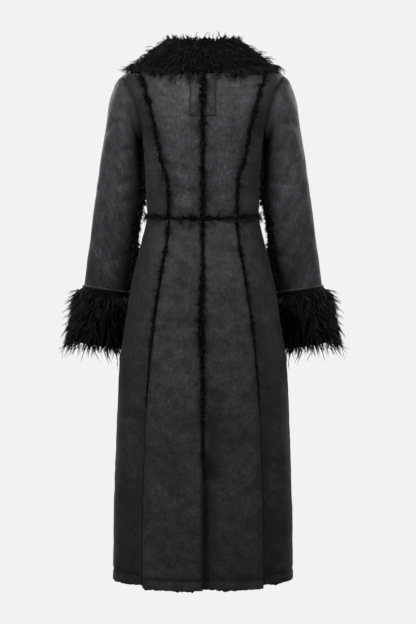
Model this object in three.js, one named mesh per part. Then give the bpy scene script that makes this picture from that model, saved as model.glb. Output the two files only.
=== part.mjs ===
import * as THREE from 'three';

// Ankle-length coat in fleece-backed suede cloth, filled out as if worn, with a fur collar, fur cuffs and
// fur strips on its seams. Millimetres. The origin is midway between the points where shoulder meets neck.
// The front faces -Y, the wearer's left side is +X and up is +Z. Angles run round the body in degrees from
// the centre front: 90 is the left side, 180 the centre back, 270 the right side.

const wall = 3;                  // cloth with its fleece, pressed flat
const seamGap = 0.3;             // between the edges of two pieces
const laidOn = 0.5;              // between a strip or patch and the cloth below it
const roundness = 2.2;           // 2 is an ellipse, more is squarer
const waistHeight = -392;        // at the side seam
// How far the waist sinks at back and front, and the drop where that has worn off.
const waistDip = { back: 10, front: 2, gone: 160 };
const hemOfBack = -1295;
const hemOfSide = -1288;
const hemOfFront = -1290;

// How far up the side seam from the waist, then along the shoulder to the neck.
const armpitRise = 187;
const shoulderRise = 355;
const neckRise = 483;
const armholeSpread = 31;        // degrees each way from the side

const bodiceRings = [
  { rise: 0, halfWidth: 139, back: 92, front: 98, sideZ: -392, backZ: -402, frontZ: -394 },
  { rise: 72, halfWidth: 143, back: 104, front: 112, sideZ: -320, backZ: -328, frontZ: -322 },
  { rise: 140, halfWidth: 147, back: 115, front: 129, sideZ: -252, backZ: -256, frontZ: -254 },
  { rise: 187, halfWidth: 151, back: 121, front: 132, sideZ: -205, backZ: -207, frontZ: -208 },
  { rise: 215, halfWidth: 164, back: 122, front: 129, sideZ: -177, backZ: -178, frontZ: -182 },
  { rise: 242, halfWidth: 178, back: 120, front: 123, sideZ: -150, backZ: -151, frontZ: -160 },
  { rise: 275, halfWidth: 192, back: 115, front: 114, sideZ: -117, backZ: -119, frontZ: -140 },
  { rise: 323, halfWidth: 203, back: 101, front: 102, sideZ: -69, backZ: -76, frontZ: -126 },
  { rise: 355, halfWidth: 197, back: 91, front: 99, sideZ: -38, backZ: -50, frontZ: -122 },
  { rise: 415, halfWidth: 139, back: 74, front: 95, sideZ: -19, backZ: -17, frontZ: -117 },
  { rise: 483, halfWidth: 74, back: 58, front: 90, sideZ: 0, backZ: 8, frontZ: -112 },
];

const skirtRings = [
  { drop: 0, halfWidth: 139, back: 92, front: 98 },
  { drop: 33, halfWidth: 146, back: 98, front: 102 },
  { drop: 98, halfWidth: 162, back: 112, front: 111 },
  { drop: 170, halfWidth: 179, back: 124, front: 119 },
  { drop: 280, halfWidth: 196, back: 135, front: 128 },
  { drop: 358, halfWidth: 208, back: 141, front: 134 },
  { drop: 458, halfWidth: 214, back: 147, front: 140 },
  { drop: 583, halfWidth: 219, back: 153, front: 146 },
  { drop: 708, halfWidth: 223, back: 158, front: 151 },
  { drop: 903, halfWidth: 226, back: 164, front: 157 },
];

// Princess seam of the back: how far from the centre at each height.
const princessLine = [
  { height: -1305, fromCentre: 149 },
  { height: -1083, fromCentre: 147 },
  { height: -870, fromCentre: 139 },
  { height: -787, fromCentre: 133 },
  { height: -666, fromCentre: 121 },
  { height: -552, fromCentre: 104 },
  { height: -427, fromCentre: 85 },
  { height: -337, fromCentre: 85 },
  { height: -303, fromCentre: 88 },
  { height: -265, fromCentre: 101 },
  { height: -175, fromCentre: 118 },
  { height: -115, fromCentre: 133 },
  { height: -56, fromCentre: 151 },
  { height: -20, fromCentre: 162 },
];

// Soft upright folds of the skirt: ridges stand out, troughs lie in, both deepest at the hem.
const skirtFolds = [
  { angle: 158, halfWidth: 13, depth: 4, start: -520 },
  { angle: 113, halfWidth: 9, depth: 5, start: -700 },
  { angle: 84, halfWidth: 9, depth: -7, start: -620 },
  { angle: 62, halfWidth: 11, depth: 6, start: -560 },
  { angle: 38, halfWidth: 9, depth: -7, start: -700 },
  { angle: 214, halfWidth: 8, depth: 4, start: -640 },
  { angle: 247, halfWidth: 10, depth: 4, start: -640 },
  { angle: 275, halfWidth: 8, depth: -6, start: -760 },
  { angle: 296, halfWidth: 12, depth: 6, start: -600 },
  { angle: 322, halfWidth: 9, depth: -6, start: -660 },
];

// Lap at the foot of the centre back: the left panel lies over the right one.
const lap = { top: -985, full: -1040, tuckFrom: -1022, tuckTo: -1058, under: 24 };
const lapOver = { proud: 3, halfWidth: 34 };
const lapUnder = { sunk: 15, flatTo: 30, easedOver: 26 };
const backTrough = { from: -640, full: -1050, centre: -34, halfWidth: 30, depth: 9 };
const princessFold = { from: -560, full: -950, apart: 15, ridge: 4, ridgeWidth: 15, dip: 8, dipWidth: 24 };

// Centre front: the right front lies over the left one.
const frontLap = { over: 35, under: 32, sunk: 5.4, bendFrom: 88, bendTo: 44 };

// Outer and inner line of the sleeve, from the armhole to the welt, for the left arm.
const sleeveRings = [
  { along: 1, outX: 214, outZ: -51, inX: 154, inZ: -214, halfDepth: 62, y: 0 },
  { along: 2, outX: 226, outZ: -77, inX: 155, inZ: -228, halfDepth: 61, y: -2 },
  { along: 3, outX: 235, outZ: -113, inX: 154.5, inZ: -246, halfDepth: 59, y: -5 },
  { along: 4, outX: 243, outZ: -160, inX: 152, inZ: -268, halfDepth: 57, y: -9 },
  { along: 5, outX: 254, outZ: -228, inX: 148.5, inZ: -306, halfDepth: 55, y: -16 },
  { along: 6, outX: 265, outZ: -303, inX: 148.5, inZ: -356, halfDepth: 54, y: -27 },
  { along: 7, outX: 277, outZ: -380, inX: 160, inZ: -418, halfDepth: 53, y: -41 },
  { along: 8, outX: 288, outZ: -450, inX: 167, inZ: -480, halfDepth: 52, y: -56 },
  { along: 9, outX: 298, outZ: -514, inX: 174, inZ: -534, halfDepth: 51, y: -72 },
  { along: 10, outX: 306, outZ: -568, inX: 184, inZ: -586, halfDepth: 50, y: -87 },
];
const sleeveEnd = 10;
const sleeveFoot = sleeveEnd - 0.006;   // the cloth stops just short of the cuff
const hindArm = 150;             // degrees round the sleeve from its outer line, by the back
const foreArm = 255;

// Fur of the cuff: how far it reaches outside the sleeve at each distance below the welt.
const cuffFur = [
  { down: 0, reach: 6 },
  { down: 12, reach: 23 },
  { down: 45, reach: 29 },
  { down: 92, reach: 31 },
  { down: 138, reach: 36 },
  { down: 172, reach: 27 },
];
const cuff = { inside: 7, mouth: 162, bodyTurn: 155, towardsBody: 0.34, divisions: 28 };
const cuffLobes = { count: 7, depth: 0.1, turn: 40, below: 20 };
const welt = { width: 8, height: 3.4, lift: 0.8 };

// Fur of the collar: how high it stands on the shoulder at each part of the way from its edge to the neck.
const collarFur = [
  { part: 0, height: 8 },
  { part: 0.25, height: 19 },
  { part: 0.5, height: 29 },
  { part: 0.75, height: 36 },
  { part: 1, height: 42 },
];
const collar = { end: 11, lift: 2.2, liftTo: 460, lobes: 11, lobeDepth: 0.1, divisions: 40 };
const collarTop = { height: 44, out: 16, innerHeight: 24, innerOut: 4 };
const collarEdge = { back: 356, side: 378, front: 262 };   // rise of its lower edge
const princessUnderCollar = 150;                           // the angle where the princess seam meets it

const patch = { halfWidth: 32, foot: -156, thickness: 1.2, stripRises: 40 };
const strip = { halfWidth: 6, height: 6 };
const stripOverFold = { lift: 2, from: 200, to: 440 };   // the drops between which it rises off the cloth
const stripOnCentre = { halfWidth: 8, height: 8 };
const waistStrip = { halfWidth: 6, height: 8, fromEdge: 1.2, toEdge: 0.2, divisions: 48 };
const sleeveStrip = { halfWidth: 7, height: 8, from: 1.6, to: 9.75 };
const fadeOfPrincess = -860;     // below this the princess seams are plain
const centreStripFoot = -985;

// Faces across each piece.
const columns = {
  backBodice: 7,
  sideBackBodice: 5,
  front: 10,
  backSkirt: 8,
  sideBackSkirt: 7,
  upperSleeve: 17,
  underSleeve: 7,
  patch: 6,
};

const colours = {
  cloth: { color: 0x2c2c2e, roughness: 0.62 },
  clothSide: { color: 0x262628, roughness: 0.66 },
  fur: { color: 0x0d0d0e, roughness: 0.9 },
};

const radians = THREE.MathUtils.degToRad;
const degrees = THREE.MathUtils.radToDeg;
const smooth = (value, from, to) => THREE.MathUtils.smoothstep((value - from) / (to - from), 0, 1);
const bump = (distance, halfWidth) => Math.exp(-((distance / halfWidth) ** 2));
const bent = (value) => Math.sign(value) * Math.abs(value) ** (2 / roundness);

// One row between the rows of a table, every column on a smooth curve.
function rowAt(table, column, value) {
  const sign = Math.sign(table[1][column] - table[0][column]);
  const last = table.length - 1;
  let i = 0;
  while (i < last - 1 && sign * (table[i + 1][column] - value) < 0) i += 1;
  const span = table[i + 1][column] - table[i][column];
  const t = THREE.MathUtils.clamp((value - table[i][column]) / span, 0, 1);
  const before = table[Math.max(i - 1, 0)];
  const after = table[Math.min(i + 2, last)];
  const row = {};
  for (const key of Object.keys(table[0])) {
    const p0 = table[i][key];
    const p1 = table[i + 1][key];
    const m0 = span * (p1 - before[key]) / (table[i + 1][column] - before[column]);
    const m1 = span * (after[key] - p0) / (after[column] - table[i][column]);
    const t2 = t * t;
    const t3 = t2 * t;
    row[key] = (2 * t3 - 3 * t2 + 1) * p0 + (t3 - 2 * t2 + t) * m0 + (3 * t2 - 2 * t3) * p1 + (t3 - t2) * m1;
  }
  return row;
}

// A point on a ring, pushed in or out across it.
function onRing(ring, angle, height, push) {
  const s = Math.sin(radians(angle));
  const c = -Math.cos(radians(angle));
  const depth = c > 0 ? ring.back : ring.front;
  const x = ring.halfWidth * bent(s);
  const y = depth * bent(c);
  const across = new THREE.Vector2(x / ring.halfWidth ** 2, y / depth ** 2).normalize();
  return new THREE.Vector3(x + across.x * push, y + across.y * push, height);
}

// Angle of the point of a ring at this distance from the centre line, on the back.
function angleAt(ring, x) {
  const part = Math.min(Math.abs(x) / ring.halfWidth, 1) ** (roundness / 2);
  const fromCentre = degrees(Math.asin(part));
  return x >= 0 ? 180 - fromCentre : 180 + fromCentre;
}

function frontAngleAt(ring, x) {
  return degrees(Math.asin((Math.abs(x) / ring.halfWidth) ** (roundness / 2))) * Math.sign(x);
}

// The left front sinks under the right one at the centre.
function sunkFront(ring, angle, side) {
  if (side < 0 || angle > 90) return 0;
  const x = ring.halfWidth * bent(Math.sin(radians(angle)));
  return -frontLap.sunk * smooth(-x, -frontLap.bendFrom, -frontLap.bendTo);
}

function bodicePoint(angle, rise, side = 0) {
  const ring = rowAt(bodiceRings, 'rise', rise);
  const c = -Math.cos(radians(angle));
  const end = c > 0 ? ring.backZ : ring.frontZ;
  const height = ring.sideZ + (end - ring.sideZ) * c * c;
  return onRing(ring, angle, height, side > 0 ? sunkFront(ring, angle, side) : 0);
}

function skirtHeight(angle, drop) {
  const c = -Math.cos(radians(angle));
  const dip = (c > 0 ? waistDip.back : waistDip.front) * c * c;
  return waistHeight - drop - dip * (1 - smooth(drop, 0, waistDip.gone));
}

function skirtPush(ring, angle, height, side) {
  let push = sunkFront(ring, angle, side);
  for (const fold of skirtFolds) {
    const grown = smooth(-height, -fold.start, -hemOfFront);
    push += fold.depth * bump(angle - fold.angle, fold.halfWidth) * grown;
  }
  if (angle < 90 || angle > 270) return push;
  const x = ring.halfWidth * bent(Math.sin(radians(angle)));
  const seam = rowAt(princessLine, 'height', height).fromCentre;
  const grown = smooth(-height, -princessFold.from, -princessFold.full);
  const past = Math.abs(x) - seam;
  push += princessFold.ridge * grown * bump(past + princessFold.apart, princessFold.ridgeWidth);
  push -= princessFold.dip * grown * bump(past - princessFold.apart, princessFold.dipWidth);
  const lapped = smooth(-height, -lap.top, -lap.full);
  if (side > 0) return push + lapOver.proud * lapped * bump(x, lapOver.halfWidth);
  if (side < 0) {
    const deep = smooth(-height, -backTrough.from, -backTrough.full);
    const across = smooth(-x, 0, backTrough.halfWidth) * bump(x - backTrough.centre, backTrough.halfWidth);
    const held = bump(Math.max(-x - lapUnder.flatTo, 0), lapUnder.easedOver);
    return push - backTrough.depth * deep * across * (1 - lapped) - lapUnder.sunk * lapped * held;
  }
  return push;
}

function skirtPoint(angle, drop, side = 0) {
  const ring = rowAt(skirtRings, 'drop', drop);
  const height = skirtHeight(angle, drop);
  return onRing(ring, angle, height, skirtPush(ring, angle, height, side));
}

// The edge of the armhole: 0 degrees at the shoulder point, 90 at the back, 180 at the armpit.
function armholePoint(turn, inset) {
  const rise = (shoulderRise + armpitRise) / 2 + (shoulderRise - armpitRise) / 2 * Math.cos(radians(turn));
  const edge = bodicePoint(90 + armholeSpread * Math.sin(radians(turn)), rise);
  const centre = bodicePoint(90, (shoulderRise + armpitRise) / 2);
  return edge.add(centre.sub(edge).setLength(inset));
}

// A ring of the left sleeve: number 0 is the armhole, the others follow the table.
function sleeveRingPoint(index, turn) {
  if (index === 0) return armholePoint(turn, seamGap);
  const row = sleeveRings[index - 1];
  const outer = new THREE.Vector3(row.outX, row.y, row.outZ);
  const inner = new THREE.Vector3(row.inX, row.y, row.inZ);
  const middle = outer.clone().add(inner).multiplyScalar(0.5);
  const a = radians(turn);
  return middle.add(outer.sub(inner).multiplyScalar(0.5 * Math.cos(a)))
    .add(new THREE.Vector3(0, row.halfDepth * Math.sin(a), 0));
}

// A point of the left sleeve at any distance along it, on a smooth curve through its rings.
function sleevePoint(turn, along) {
  const i = THREE.MathUtils.clamp(Math.floor(along), 0, sleeveEnd - 1);
  const t = along - i;
  const near = [i - 1, i, i + 1, i + 2].map((k) => THREE.MathUtils.clamp(k, 0, sleeveEnd));
  const [p0, p1, p2, p3] = near.map((k) => sleeveRingPoint(k, turn));
  if (i === 0) p0.copy(p1).multiplyScalar(2).sub(p2);
  if (i === sleeveEnd - 1) p3.copy(p2).multiplyScalar(2).sub(p1);
  const weights = [
    0.5 * (-t + 2 * t * t - t * t * t),
    0.5 * (2 - 5 * t * t + 3 * t * t * t),
    0.5 * (t + 4 * t * t - 3 * t * t * t),
    0.5 * (-t * t + t * t * t),
  ];
  return new THREE.Vector3()
    .addScaledVector(p0, weights[0]).addScaledVector(p1, weights[1])
    .addScaledVector(p2, weights[2]).addScaledVector(p3, weights[3]);
}

// A point outside or inside the left sleeve's end, this far below it.
function cuffPoint(turn, down, reach) {
  const last = sleevePoint(turn, sleeveEnd);
  const middle = sleevePoint(0, sleeveEnd).add(sleevePoint(180, sleeveEnd)).multiplyScalar(0.5);
  const before = sleevePoint(0, sleeveEnd - 1).add(sleevePoint(180, sleeveEnd - 1)).multiplyScalar(0.5);
  const downwards = middle.clone().sub(before).normalize();
  const out = last.clone().sub(middle).normalize();
  return last.addScaledVector(downwards, down).addScaledVector(out, reach);
}

// The outward direction of a surface. The sign is 1 where its angle turns left and its level climbs.
function outward(pointAt, angle, level, sign) {
  const turnStep = 0.4;
  const levelStep = 0.02;
  const across = pointAt(angle + turnStep, level).sub(pointAt(angle - turnStep, level));
  const up = pointAt(angle, level + levelStep).sub(pointAt(angle, level - levelStep));
  return across.cross(up).normalize().multiplyScalar(sign);
}

// A closed solid through loops of points. Its ends are capped unless the last loop joins the first.
function solid(loops, joined) {
  const count = loops[0].length;
  const corners = loops.flat().flatMap((p) => [p.x, p.y, p.z]);
  const at = (i, j) => (i % loops.length) * count + (j % count);
  const faces = [];
  const quad = (a, b, c, d) => faces.push(a, b, c, a, c, d);
  for (let i = 0; i < loops.length - (joined ? 0 : 1); i += 1) {
    for (let j = 0; j < count - 1; j += 1) quad(at(i, j), at(i + 1, j), at(i + 1, j + 1), at(i, j + 1));
    const j = count - 1;
    quad(at(i + 1, j), at(i + 1, j + 1), at(i, j + 1), at(i, j));
  }
  const end = loops.length - 1;
  for (let j = 0; !joined && j < count / 2 - 1; j += 1) {
    quad(at(0, j), at(0, j + 1), at(0, count - 2 - j), at(0, count - 1 - j));
    quad(at(end, count - 1 - j), at(end, count - 2 - j), at(end, j + 1), at(end, j));
  }
  const geometry = new THREE.BufferGeometry();
  geometry.setAttribute('position', new THREE.Float32BufferAttribute(corners, 3));
  geometry.setIndex(faces);
  return facingOut(geometry);
}

function facingOut(geometry) {
  const position = geometry.getAttribute('position');
  const index = geometry.getIndex();
  const corner = (i) => new THREE.Vector3().fromBufferAttribute(position, index.getX(i));
  let volume = 0;
  for (let i = 0; i < index.count; i += 3) volume += corner(i).dot(corner(i + 1).cross(corner(i + 2)));
  for (let i = 0; volume < 0 && i < index.count; i += 3) {
    const first = index.getX(i);
    index.setX(i, index.getX(i + 2));
    index.setX(i + 2, first);
  }
  geometry.computeVertexNormals();
  return geometry;
}

// Cloth as a wall: rows of outer points, and the same points moved in along their normals.
function clothSolid(rows, thickness) {
  return solid(rows.map((row) => [
    ...row.map(({ point }) => point),
    ...row.map(({ point, normal }) => point.clone().addScaledVector(normal, -thickness)).reverse(),
  ]));
}

// Rows of a piece between two edges, each half a seam gap inside its edge.
function pieceRows(pointAt, sign, levels, edgesAt, count) {
  return levels.map((level) => {
    const [from, to] = edgesAt(level);
    const width = 2 * pointAt(from, level).distanceTo(pointAt((from + to) / 2, level));
    const inset = (to - from) * seamGap / 2 / width;
    return Array.from({ length: count + 1 }, (_, k) => {
      const angle = THREE.MathUtils.lerp(from + inset, to - inset, k / count);
      return { point: pointAt(angle, level), normal: outward(pointAt, angle, level, sign) };
    });
  });
}

// A low strip of fur along a path on the cloth. Each spot has its angle, level, width and height.
function stripSolid(pointAt, sign, path) {
  return solid(path.map(({ angle, level, halfWidth, height, lift }) => {
    const middle = pointAt(angle, level);
    const perDegree = middle.distanceTo(pointAt(angle + 1, level));
    const spread = halfWidth / perDegree;
    return [[-1, lift], [-0.5, lift + height], [0.5, lift + height], [1, lift]].map(([part, out]) => {
      const spot = angle + spread * part;
      return pointAt(spot, level).addScaledVector(outward(pointAt, spot, level, sign), out);
    });
  }));
}

const group = new THREE.Group();

function add(name, geometry, finish) {
  const material = new THREE.MeshStandardMaterial({ ...colours[finish], metalness: 0 });
  material.name = finish;
  const mesh = new THREE.Mesh(geometry, material);
  mesh.name = name;
  group.add(mesh);
}

// The same geometry on the other side of the coat.
function mirrored(geometry) {
  return facingOut(geometry.clone().scale(-1, 1, 1));
}

const sides = [{ word: 'left', side: 1 }, { word: 'right', side: -1 }];
const onSide = (side, angle) => (side > 0 ? angle : 360 - angle);
const armholeMiddle = (shoulderRise + armpitRise) / 2;
const armholeHalf = (shoulderRise - armpitRise) / 2;
const armholeSteps = 12;
const armholeLevels = Array.from({ length: armholeSteps + 1 }, (_, k) => (
  armholeMiddle - armholeHalf * Math.cos(Math.PI * k / armholeSteps)));
const shoulderLevels = [385, 415, 448];
const bodiceLevels = [seamGap / 2, 48, 96, 142, ...armholeLevels, ...shoulderLevels, neckRise];
const skirtLevels = [seamGap / 2, 40, 90, 150, 220, 300, 380, 460, 545, 600, 628, 667, 730, 800, 860];

// Where a bodice piece ends towards the side: side seam, armhole or shoulder seam.
function outerEdge(rise) {
  const part = Math.min(Math.abs(rise - armholeMiddle) / armholeHalf, 1);
  return 90 + armholeSpread * Math.sqrt(1 - part * part);
}

// The height of a ring changes round the body, so the angle is found in a few rounds.
function princessAngle(rise) {
  const rounds = 4;
  const ring = rowAt(bodiceRings, 'rise', rise);
  const angleFor = (height) => angleAt(ring, rowAt(princessLine, 'height', height).fromCentre);
  let angle = angleFor(ring.sideZ);
  for (let i = 1; i < rounds; i += 1) angle = angleFor(bodicePoint(angle, rise).z);
  return angle;
}

function skirtPrincessAngle(drop) {
  const ring = rowAt(skirtRings, 'drop', drop);
  return angleAt(ring, rowAt(princessLine, 'height', waistHeight - drop).fromCentre);
}

function frontEdge(ring, side) {
  return frontAngleAt(ring, side > 0 ? -frontLap.under : -frontLap.over);
}

function bodice({ word, side }) {
  const pointAt = (angle, rise) => bodicePoint(onSide(side, angle), rise, side);
  const narrowest = 6;           // degrees
  const back = pieceRows(pointAt, side, bodiceLevels, (rise) => (
    [Math.max(princessAngle(rise), outerEdge(rise)), 180]), columns.backBodice);
  add(`back_bodice_${word}`, clothSolid(back, wall), 'cloth');
  const sideLevels = bodiceLevels.filter((rise) => princessAngle(rise) - outerEdge(rise) > narrowest);
  const sideBack = pieceRows(pointAt, side, sideLevels, (rise) => (
    [outerEdge(rise), princessAngle(rise)]), columns.sideBackBodice);
  add(`side_back_bodice_${word}`, clothSolid(sideBack, wall), 'clothSide');
  const front = pieceRows(pointAt, side, bodiceLevels, (rise) => (
    [frontEdge(rowAt(bodiceRings, 'rise', rise), side), 180 - outerEdge(rise)]), columns.front);
  add(`front_bodice_${word}`, clothSolid(front, wall), 'cloth');
  const top = collarEdgeRise(princessUnderCollar) - laidOn;
  const levels = bodiceLevels.filter((rise) => rise > waistStrip.halfWidth + laidOn && rise < top);
  const path = [waistStrip.halfWidth + 2 * laidOn, ...levels, top].map((level) => (
    { angle: princessAngle(level), level, lift: 2 * laidOn, ...strip }));
  add(`princess_strip_bodice_${word}`, stripSolid(pointAt, side, path), 'fur');
}

function skirt({ word, side }) {
  const pointAt = (angle, drop) => skirtPoint(onSide(side, angle), drop, side);
  const levelsTo = (hem) => [...skirtLevels, waistHeight - hem];
  const back = pieceRows(pointAt, -side, levelsTo(hemOfBack), (drop) => {
    const ring = rowAt(skirtRings, 'drop', drop);
    const tucked = smooth(drop, waistHeight - lap.tuckFrom, waistHeight - lap.tuckTo);
    return [skirtPrincessAngle(drop), 360 - angleAt(ring, side < 0 ? lap.under * tucked : 0)];
  }, columns.backSkirt);
  add(`back_skirt_${word}`, clothSolid(back, wall), 'cloth');
  const sideBack = pieceRows(pointAt, -side, levelsTo(hemOfSide), (drop) => (
    [90, skirtPrincessAngle(drop)]), columns.sideBackSkirt);
  add(`side_back_skirt_${word}`, clothSolid(sideBack, wall), 'clothSide');
  const front = pieceRows(pointAt, -side, levelsTo(hemOfFront), (drop) => (
    [frontEdge(rowAt(skirtRings, 'drop', drop), side), 90]), columns.front);
  add(`front_skirt_${word}`, clothSolid(front, wall), 'cloth');
  const liftAt = (drop) => laidOn + stripOverFold.lift * smooth(drop, stripOverFold.from, stripOverFold.to);
  const foot = waistHeight - fadeOfPrincess;
  const levels = skirtLevels.filter((drop) => drop > waistStrip.halfWidth + laidOn && drop < foot);
  const path = [waistStrip.halfWidth + 2 * laidOn, ...levels, foot].map((level) => (
    { angle: skirtPrincessAngle(level), level, lift: liftAt(level), ...strip }));
  add(`princess_strip_skirt_${word}`, stripSolid(pointAt, -side, path), 'fur');
}

function centreStrips() {
  const bodiceAt = (angle, rise) => bodicePoint(angle, rise, Math.sign(180 - angle));
  const skirtAt = (angle, drop) => skirtPoint(angle, drop, Math.sign(180 - angle));
  const start = waistStrip.halfWidth + 2 * laidOn;
  const patchFoot = riseAtBack(patch.foot);
  const top = collarEdge.back - laidOn;
  const rises = bodiceLevels.filter((rise) => rise > start && rise < top);
  const overPatch = (rise) => (rise > patchFoot - patch.stripRises ? patch.thickness + laidOn : 0);
  add('centre_strip_bodice', stripSolid(bodiceAt, 1, [start, ...rises, top].map((level) => (
    { angle: 180, level, lift: laidOn + overPatch(level), ...stripOnCentre }))), 'fur');
  const foot = waistHeight - centreStripFoot;
  const drops = skirtLevels.filter((drop) => drop > start && drop < foot);
  add('centre_strip_skirt', stripSolid(skirtAt, -1, [start, ...drops, foot].map((level) => (
    { angle: 180, level, lift: laidOn, ...stripOnCentre }))), 'fur');
  const levels = [patchFoot, ...bodiceLevels.filter((rise) => rise > patchFoot && rise < top), top];
  const rows = pieceRows(bodiceAt, 1, levels, (rise) => {
    const ring = rowAt(bodiceRings, 'rise', rise);
    return [angleAt(ring, patch.halfWidth), angleAt(ring, -patch.halfWidth)];
  }, columns.patch);
  for (const { point, normal } of rows.flat()) point.addScaledVector(normal, laidOn + patch.thickness);
  add('back_neck_patch', clothSolid(rows, patch.thickness), 'cloth');
}

function riseAtBack(height) {
  const byHeight = bodiceRings.map(({ rise, backZ }) => ({ backZ, rise }));
  return rowAt(byHeight, 'backZ', height).rise;
}

// The waist strip runs from the edge of the right front round the back to the same edge.
function waistFur() {
  const ring = skirtRings[0];
  const edge = frontAngleAt(ring, frontLap.over);
  const { halfWidth, height, fromEdge, toEdge, divisions } = waistStrip;
  add('waist_strip', solid(Array.from({ length: divisions + 1 }, (_, k) => {
    const angle = THREE.MathUtils.lerp(edge + fromEdge, 360 + edge - toEdge, k / divisions);
    const side = angle < 180 ? 1 : -1;
    const above = (rise, out) => {
      const pointAt = (a, r) => bodicePoint(a, r, side);
      return pointAt(angle, rise).addScaledVector(outward(pointAt, angle, rise, 1), out);
    };
    const below = (drop, out) => {
      const pointAt = (a, d) => skirtPoint(a, d, side);
      return pointAt(angle, drop).addScaledVector(outward(pointAt, angle, drop, -1), out);
    };
    return [above(halfWidth, laidOn), above(halfWidth / 2, height), below(halfWidth / 2, height),
      below(halfWidth, laidOn)];
  })), 'fur');
}

// Rows of a sleeve piece. At its two ends the wall's edge lies in the plane of the opening.
function sleeveRows(steps, from, to, count) {
  const rows = pieceRows(sleevePoint, -1, steps, () => [from, to], count);
  for (const [row, step] of [[rows[0], 0], [rows[rows.length - 1], sleeveEnd]]) {
    const middle = sleevePoint(0, step).add(sleevePoint(180, step)).multiplyScalar(0.5);
    for (const spot of row) spot.normal = spot.point.clone().sub(middle).normalize();
  }
  return rows;
}

function sleeve({ word, side }) {
  const put = (name, geometry, finish) => add(
    `${name}_${word}`, side > 0 ? geometry : mirrored(geometry), finish);
  const steps = [0, 0.5, ...sleeveRings.slice(0, -1).map(({ along }) => along), sleeveFoot];
  const upper = sleeveRows(steps, foreArm - 360, hindArm, columns.upperSleeve);
  put('upper_sleeve', clothSolid(upper, wall), 'cloth');
  const under = sleeveRows(steps, hindArm, foreArm, columns.underSleeve);
  put('under_sleeve', clothSolid(under, wall), 'clothSide');
  const along = steps.filter((step) => step > sleeveStrip.from && step < sleeveStrip.to);
  const { from, to, ...size } = sleeveStrip;
  const path = [from, ...along, to].map((level) => ({ angle: hindArm, level, lift: 2 * laidOn, ...size }));
  put('sleeve_strip', stripSolid(sleevePoint, -1, path), 'fur');
  const turns = Array.from({ length: cuff.divisions }, (_, k) => 360 * k / cuff.divisions);
  put('sleeve_welt', solid(turns.map((turn) => [
    cuffPoint(turn, -welt.width, welt.lift), cuffPoint(turn, -welt.width, welt.height),
    cuffPoint(turn, -laidOn, welt.height), cuffPoint(turn, -laidOn, welt.lift),
  ]), true), 'cloth');
  put('cuff', solid(turns.map((turn) => {
    const facing = Math.max(Math.cos(radians(turn - cuff.bodyTurn)), 0);
    const less = 1 - (1 - cuff.towardsBody) * facing;
    const lobe = 1 + cuffLobes.depth * Math.sin(radians(cuffLobes.count * turn + cuffLobes.turn));
    const reachAt = ({ down, reach }) => reach * less * (down > cuffLobes.below ? lobe : 1);
    return [
      ...cuffFur.map((row) => cuffPoint(turn, row.down, reachAt(row))),
      ...[cuff.mouth, cuff.mouth / 2, 0].map((down) => cuffPoint(turn, down, -cuff.inside)),
    ];
  }), true), 'fur');
}

// Rise of the collar's lower edge at an angle.
function collarEdgeRise(angle) {
  const c = -Math.cos(radians(angle));
  const end = c > 0 ? collarEdge.back : collarEdge.front;
  return collarEdge.side + (end - collarEdge.side) * c * c;
}

function collarSolid() {
  const up = new THREE.Vector3(0, 0, 1);
  const loops = Array.from({ length: collar.divisions + 1 }, (_, k) => {
    const angle = THREE.MathUtils.lerp(collar.end, 360 - collar.end, k / collar.divisions);
    const pointAt = (a, rise) => bodicePoint(a, rise);
    const low = collarEdgeRise(angle);
    const lobe = 1 + collar.lobeDepth * Math.sin(radians(collar.lobes * angle));
    const corner = Math.max(shoulderRise, low + wall);
    const rises = [low, (low + corner) / 2, corner, ...shoulderLevels, neckRise - wall / 2];
    const spots = rises.map((rise) => {
      const { height } = rowAt(collarFur, 'part', (rise - low) / (neckRise - low));
      const lift = rise > collar.liftTo ? laidOn : collar.lift;
      const normal = outward(pointAt, angle, rise, 1);
      const point = pointAt(angle, rise);
      return {
        under: point.clone().addScaledVector(normal, lift),
        over: point.clone().addScaledVector(normal, height * lobe),
      };
    });
    const neck = pointAt(angle, neckRise);
    const out = new THREE.Vector3(neck.x, neck.y, 0).normalize();
    const risen = (height, outBy) => neck.clone().addScaledVector(up, height).addScaledVector(out, outBy);
    return [
      ...spots.map(({ over }) => over),
      risen(collarTop.height * lobe, collarTop.out),
      risen(collarTop.innerHeight, collarTop.innerOut),
      ...spots.map(({ under }) => under).reverse(),
    ];
  });
  return solid(loops);
}

for (const one of sides) {
  bodice(one);
  skirt(one);
  sleeve(one);
}
centreStrips();
waistFur();
add('collar', collarSolid(), 'fur');

export default group;
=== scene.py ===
import itertools
import math
import bpy
import numpy as np
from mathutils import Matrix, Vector


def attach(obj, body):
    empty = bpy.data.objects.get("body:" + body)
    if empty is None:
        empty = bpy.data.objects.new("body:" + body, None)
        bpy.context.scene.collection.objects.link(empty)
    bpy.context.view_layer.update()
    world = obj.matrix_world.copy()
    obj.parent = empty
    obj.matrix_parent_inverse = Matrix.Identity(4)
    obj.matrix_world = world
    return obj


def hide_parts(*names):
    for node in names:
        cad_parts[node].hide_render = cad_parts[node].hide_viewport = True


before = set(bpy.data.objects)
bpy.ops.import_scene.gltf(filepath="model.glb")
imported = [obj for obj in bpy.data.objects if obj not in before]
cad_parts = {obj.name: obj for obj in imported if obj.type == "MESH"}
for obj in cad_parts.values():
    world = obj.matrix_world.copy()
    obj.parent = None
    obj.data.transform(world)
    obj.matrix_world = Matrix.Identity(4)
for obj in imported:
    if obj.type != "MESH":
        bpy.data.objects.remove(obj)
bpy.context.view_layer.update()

bpy.ops.object.select_all(action="DESELECT")
scene = bpy.context.scene

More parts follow.
